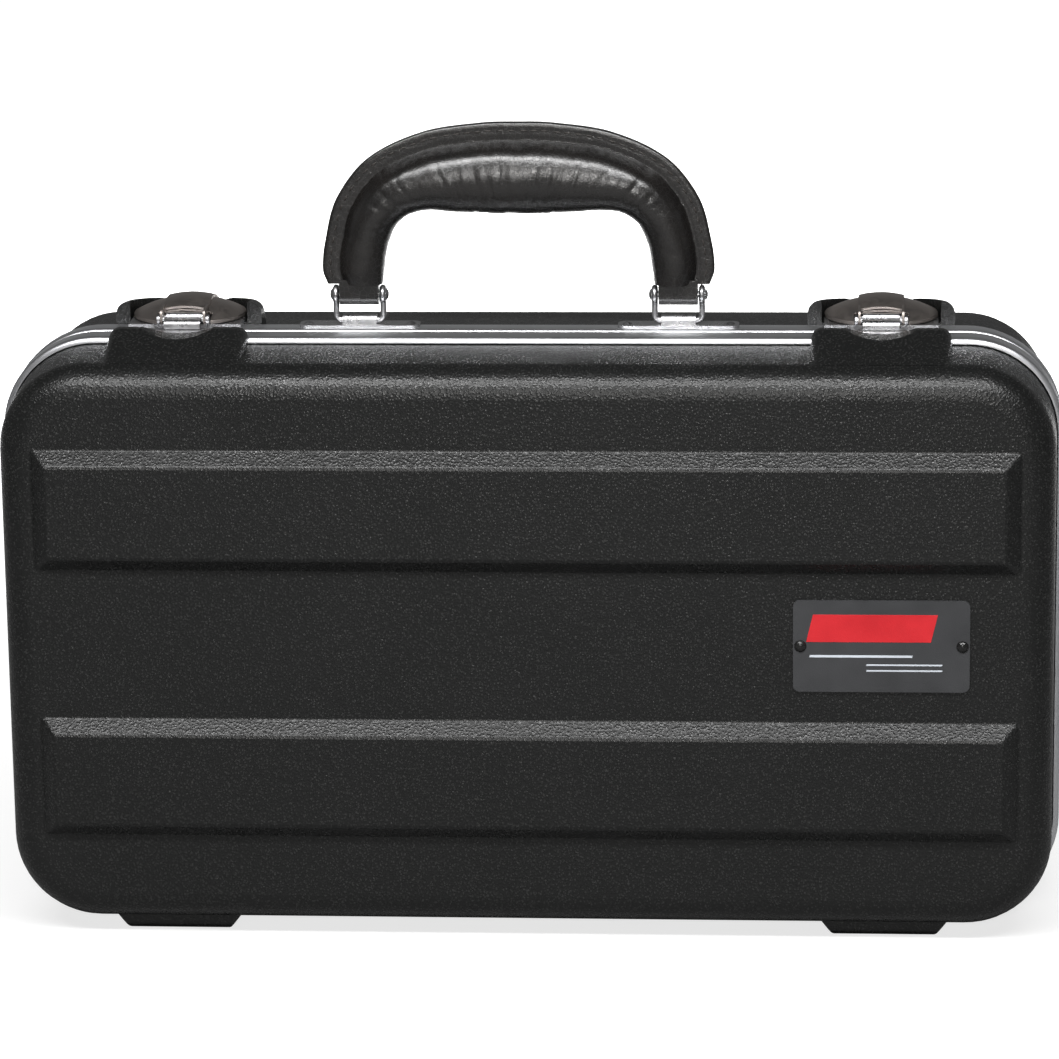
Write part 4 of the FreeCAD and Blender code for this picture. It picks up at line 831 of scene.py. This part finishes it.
def leverBand(placeX):
    # The band is an arch drawn across, with its sides folded down, and a rounded nose wall each side.
    v = lever
    half, close = v["bandHalf"], meshing["merge"]
    bm = bmesh.new()
    rear = v["centreY"] + v["radius"] - v["bandRear"]
    front, crest = (v["bandFront"], v["frontZ"]), (v["centreY"], v["crestZ"])
    arch = arcThrough(front, crest, (rear, v["rearZ"]), v["bandSteps"])
    verts, edges = chain(bm, [(placeX - half, y, z) for y, z in arch])
    across = bmesh.ops.extrude_edge_only(bm, edges=edges)["geom"]
    bmesh.ops.translate(bm, vec=(2 * half, 0, 0), verts=vertsIn(across))
    wide = [e for e in bm.edges if abs(e.verts[0].co.x - e.verts[1].co.x) > half]
    bmesh.ops.subdivide_edges(bm, edges=wide, cuts=v["bandCuts"], use_grid_fill=True)
    for vert in bm.verts:
        vert.co.z -= v["bandCrown"] * ((vert.co.x - placeX) / half) ** 2
    for side in (-1, 1):
        rim = [e for e in bm.edges if e.is_boundary
               and all(abs(p.co.x - placeX - side * half) < close for p in e.verts)]
        for p in vertsIn(bmesh.ops.extrude_edge_only(bm, edges=rim)["geom"]):
            p.co.z = v["rimZ"] + v["wallFoot"]
    bmesh.ops.remove_doubles(bm, verts=bm.verts, dist=close)
    bmesh.ops.recalc_face_normals(bm, faces=bm.faces)
    top = max(bm.faces, key=lambda f: f.calc_center_median().z)
    if top.normal.z < 0:
        bmesh.ops.reverse_faces(bm, faces=bm.faces)
    bmesh.ops.solidify(bm, geom=bm.faces, thickness=v["sheet"])
    r, nose, low, back = v["noseRound"], v["nose"], v["noseLow"], v["bandFront"] + v["noseOverlap"]
    chamfer = r * v["noseChamfer"]
    outline = [(back, low), (nose + chamfer, low), (nose, low + chamfer)]
    outline += [(nose + r - r * math.cos(a), v["frontZ"] - r + r * math.sin(a))
                for a in quarterTurn(v["noseSteps"])]
    outline += [(back, v["frontZ"] + v["noseRise"])]
    for side in (-1, 1):
        inner = placeX + side * (half - v["sheet"])
        wall = bm.faces.new([bm.verts.new((inner, y, z)) for y, z in outline])
        pushed = bmesh.ops.extrude_face_region(bm, geom=[wall])["geom"]
        bmesh.ops.translate(bm, vec=(side * v["sheet"], 0, 0), verts=vertsIn(pushed))
    return bm


def makeLevers():
    for side, place in lever["places"].items():
        bm = leverDome(place)
        band = bpy.data.meshes.new("band")
        leverBand(place).to_mesh(band)
        bm.from_mesh(band)
        bpy.data.meshes.remove(band)
        finishPiece("latchLever_" + side, bm, smokyFinish, "lever_" + side, lever["angle"],
                    ["latch_lever_" + side], bevel=lever["edge"])


makeLevers()
print("latch levers made")


# Foam lining of lid and base.
foam = {
    "angle": 50, "edge": 0.0012, "edgeSteps": 3, "sharp": 50,
    "corner": 0.0283, "grid": (168, 92), "pitch": 0.0245, "wave": 0.0030, "border": 0.012,
    "faceGap": 0.0004, "rough": 0.0003, "roughScale": 90, "roughSeed": 4, "rearRound": 0.0085,
    "rearSteps": 5,
}


def softCopy(node, name, finish, body):
    # The cut block with its sharp edges softened, as foam has them.
    bm = copyNode(node)
    sharp = [e for e in bm.edges
             if len(e.link_faces) == 2 and e.calc_face_angle() > math.radians(foam["sharp"])]
    bmesh.ops.bevel(bm, geom=sharp, offset=foam["edge"], segments=foam["edgeSteps"], profile=0.5,
                    affect="EDGES", material=-1, clamp_overlap=True)
    piece = finishPiece(name, bm, finish, body, foam["angle"], [node])


def makeLidFoam():
    # A block with a waved face that presses on what lies in the pockets, and a rounded rear.
    f = foam
    low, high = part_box("lid_foam")
    middle, halfX, halfZ = (low + high) / 2, (high.x - low.x) / 2, (high.z - low.z) / 2
    turn = 2 * math.pi / f["pitch"]
    bm = bmesh.new()
    bmesh.ops.create_grid(bm, x_segments=f["grid"][0], y_segments=f["grid"][1], size=1)
    for vert in bm.verts:
        x, z = vert.co.x * halfX, vert.co.y * halfZ
        overX, overZ = abs(x) - (halfX - f["corner"]), abs(z) - (halfZ - f["corner"])
        if overX > 0 and overZ > 0:
            pull = max(overX, overZ) / math.hypot(overX, overZ)
            x = math.copysign(halfX - f["corner"] + overX * pull, x)
            z = math.copysign(halfZ - f["corner"] + overZ * pull, z)
        edge = min(1.0, min(halfX - abs(x), halfZ - abs(z)) / f["border"])
        wave = f["wave"] * (1 - math.cos(x * turn) * math.cos(z * turn)) * edge * edge * (3 - 2 * edge)
        rough = f["rough"] * noise.noise(Vector((x * f["roughScale"], z * f["roughScale"], f["roughSeed"])))
        vert.co = (middle.x + x, high.y - f["faceGap"] - wave + rough * edge, middle.z + z)
    rim = [e for e in bm.edges if e.is_boundary]
    last = 0.0
    for a in quarterTurn(f["rearSteps"]):
        y, inset = low.y + f["rearRound"] * (1 - math.sin(a)), f["rearRound"] * (1 - math.cos(a))
        pushed = bmesh.ops.extrude_edge_only(bm, edges=rim)["geom"]
        for vert in vertsIn(pushed):
            x = middle.x + (vert.co.x - middle.x) * (halfX - inset) / (halfX - last)
            z = middle.z + (vert.co.z - middle.z) * (halfZ - inset) / (halfZ - last)
            vert.co = (x, y, z)
        rim = [g for g in pushed if isinstance(g, bmesh.types.BMEdge) and g.is_boundary]
        last = inset
    bmesh.ops.contextual_create(bm, geom=rim)
    piece = finishPiece("lidFoam", bm, foamFinish, "lid", f["angle"], ["lid_foam"])


makeLidFoam()
softCopy("base_foam_pad", "baseFoamPad", foamFinish, "base")
softCopy("base_foam_cutouts", "baseFoamCutouts", denseFinish, "base")
print("foam made")


# Enamel on the name plate: each bar is its middle x and z, its width and its height.
badge = {
    "thick": 0.00014, "gap": 0.00002, "edge": 0.00005, "angle": 35, "slant": 0.24,
    "red": [(0.1285, 0.1232, 0.046, 0.0105)],
    "lines": [(0.1245, 0.1125, 0.038, 0.0009), (0.1405, 0.1092, 0.028, 0.0006),
              (0.1405, 0.1070, 0.028, 0.0006)],
}


def enamelBars(name, finish, bars):
    bm = bmesh.new()
    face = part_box("name_plate")[0].y
    for x, z, wide, tall in bars:
        bar = bmesh.ops.create_grid(bm, x_segments=1, y_segments=1, size=0.5)["verts"]
        for vert in bar:
            up = vert.co.y * tall
            vert.co = (x + vert.co.x * wide + up * badge["slant"], face + badge["gap"], z + up)
        skin = list({f for vert in bar for f in vert.link_faces})
        pushed = bmesh.ops.extrude_face_region(bm, geom=skin)["geom"]
        bmesh.ops.translate(bm, vec=(0, -badge["thick"], 0), verts=vertsIn(pushed))
    finishPiece(name, bm, finish, "lid", badge["angle"], bevel=badge["edge"])


enamelBars("plateRedBar", redFinish, badge["red"])
enamelBars("platePaleLines", paleFinish, badge["lines"])
print("name plate made")
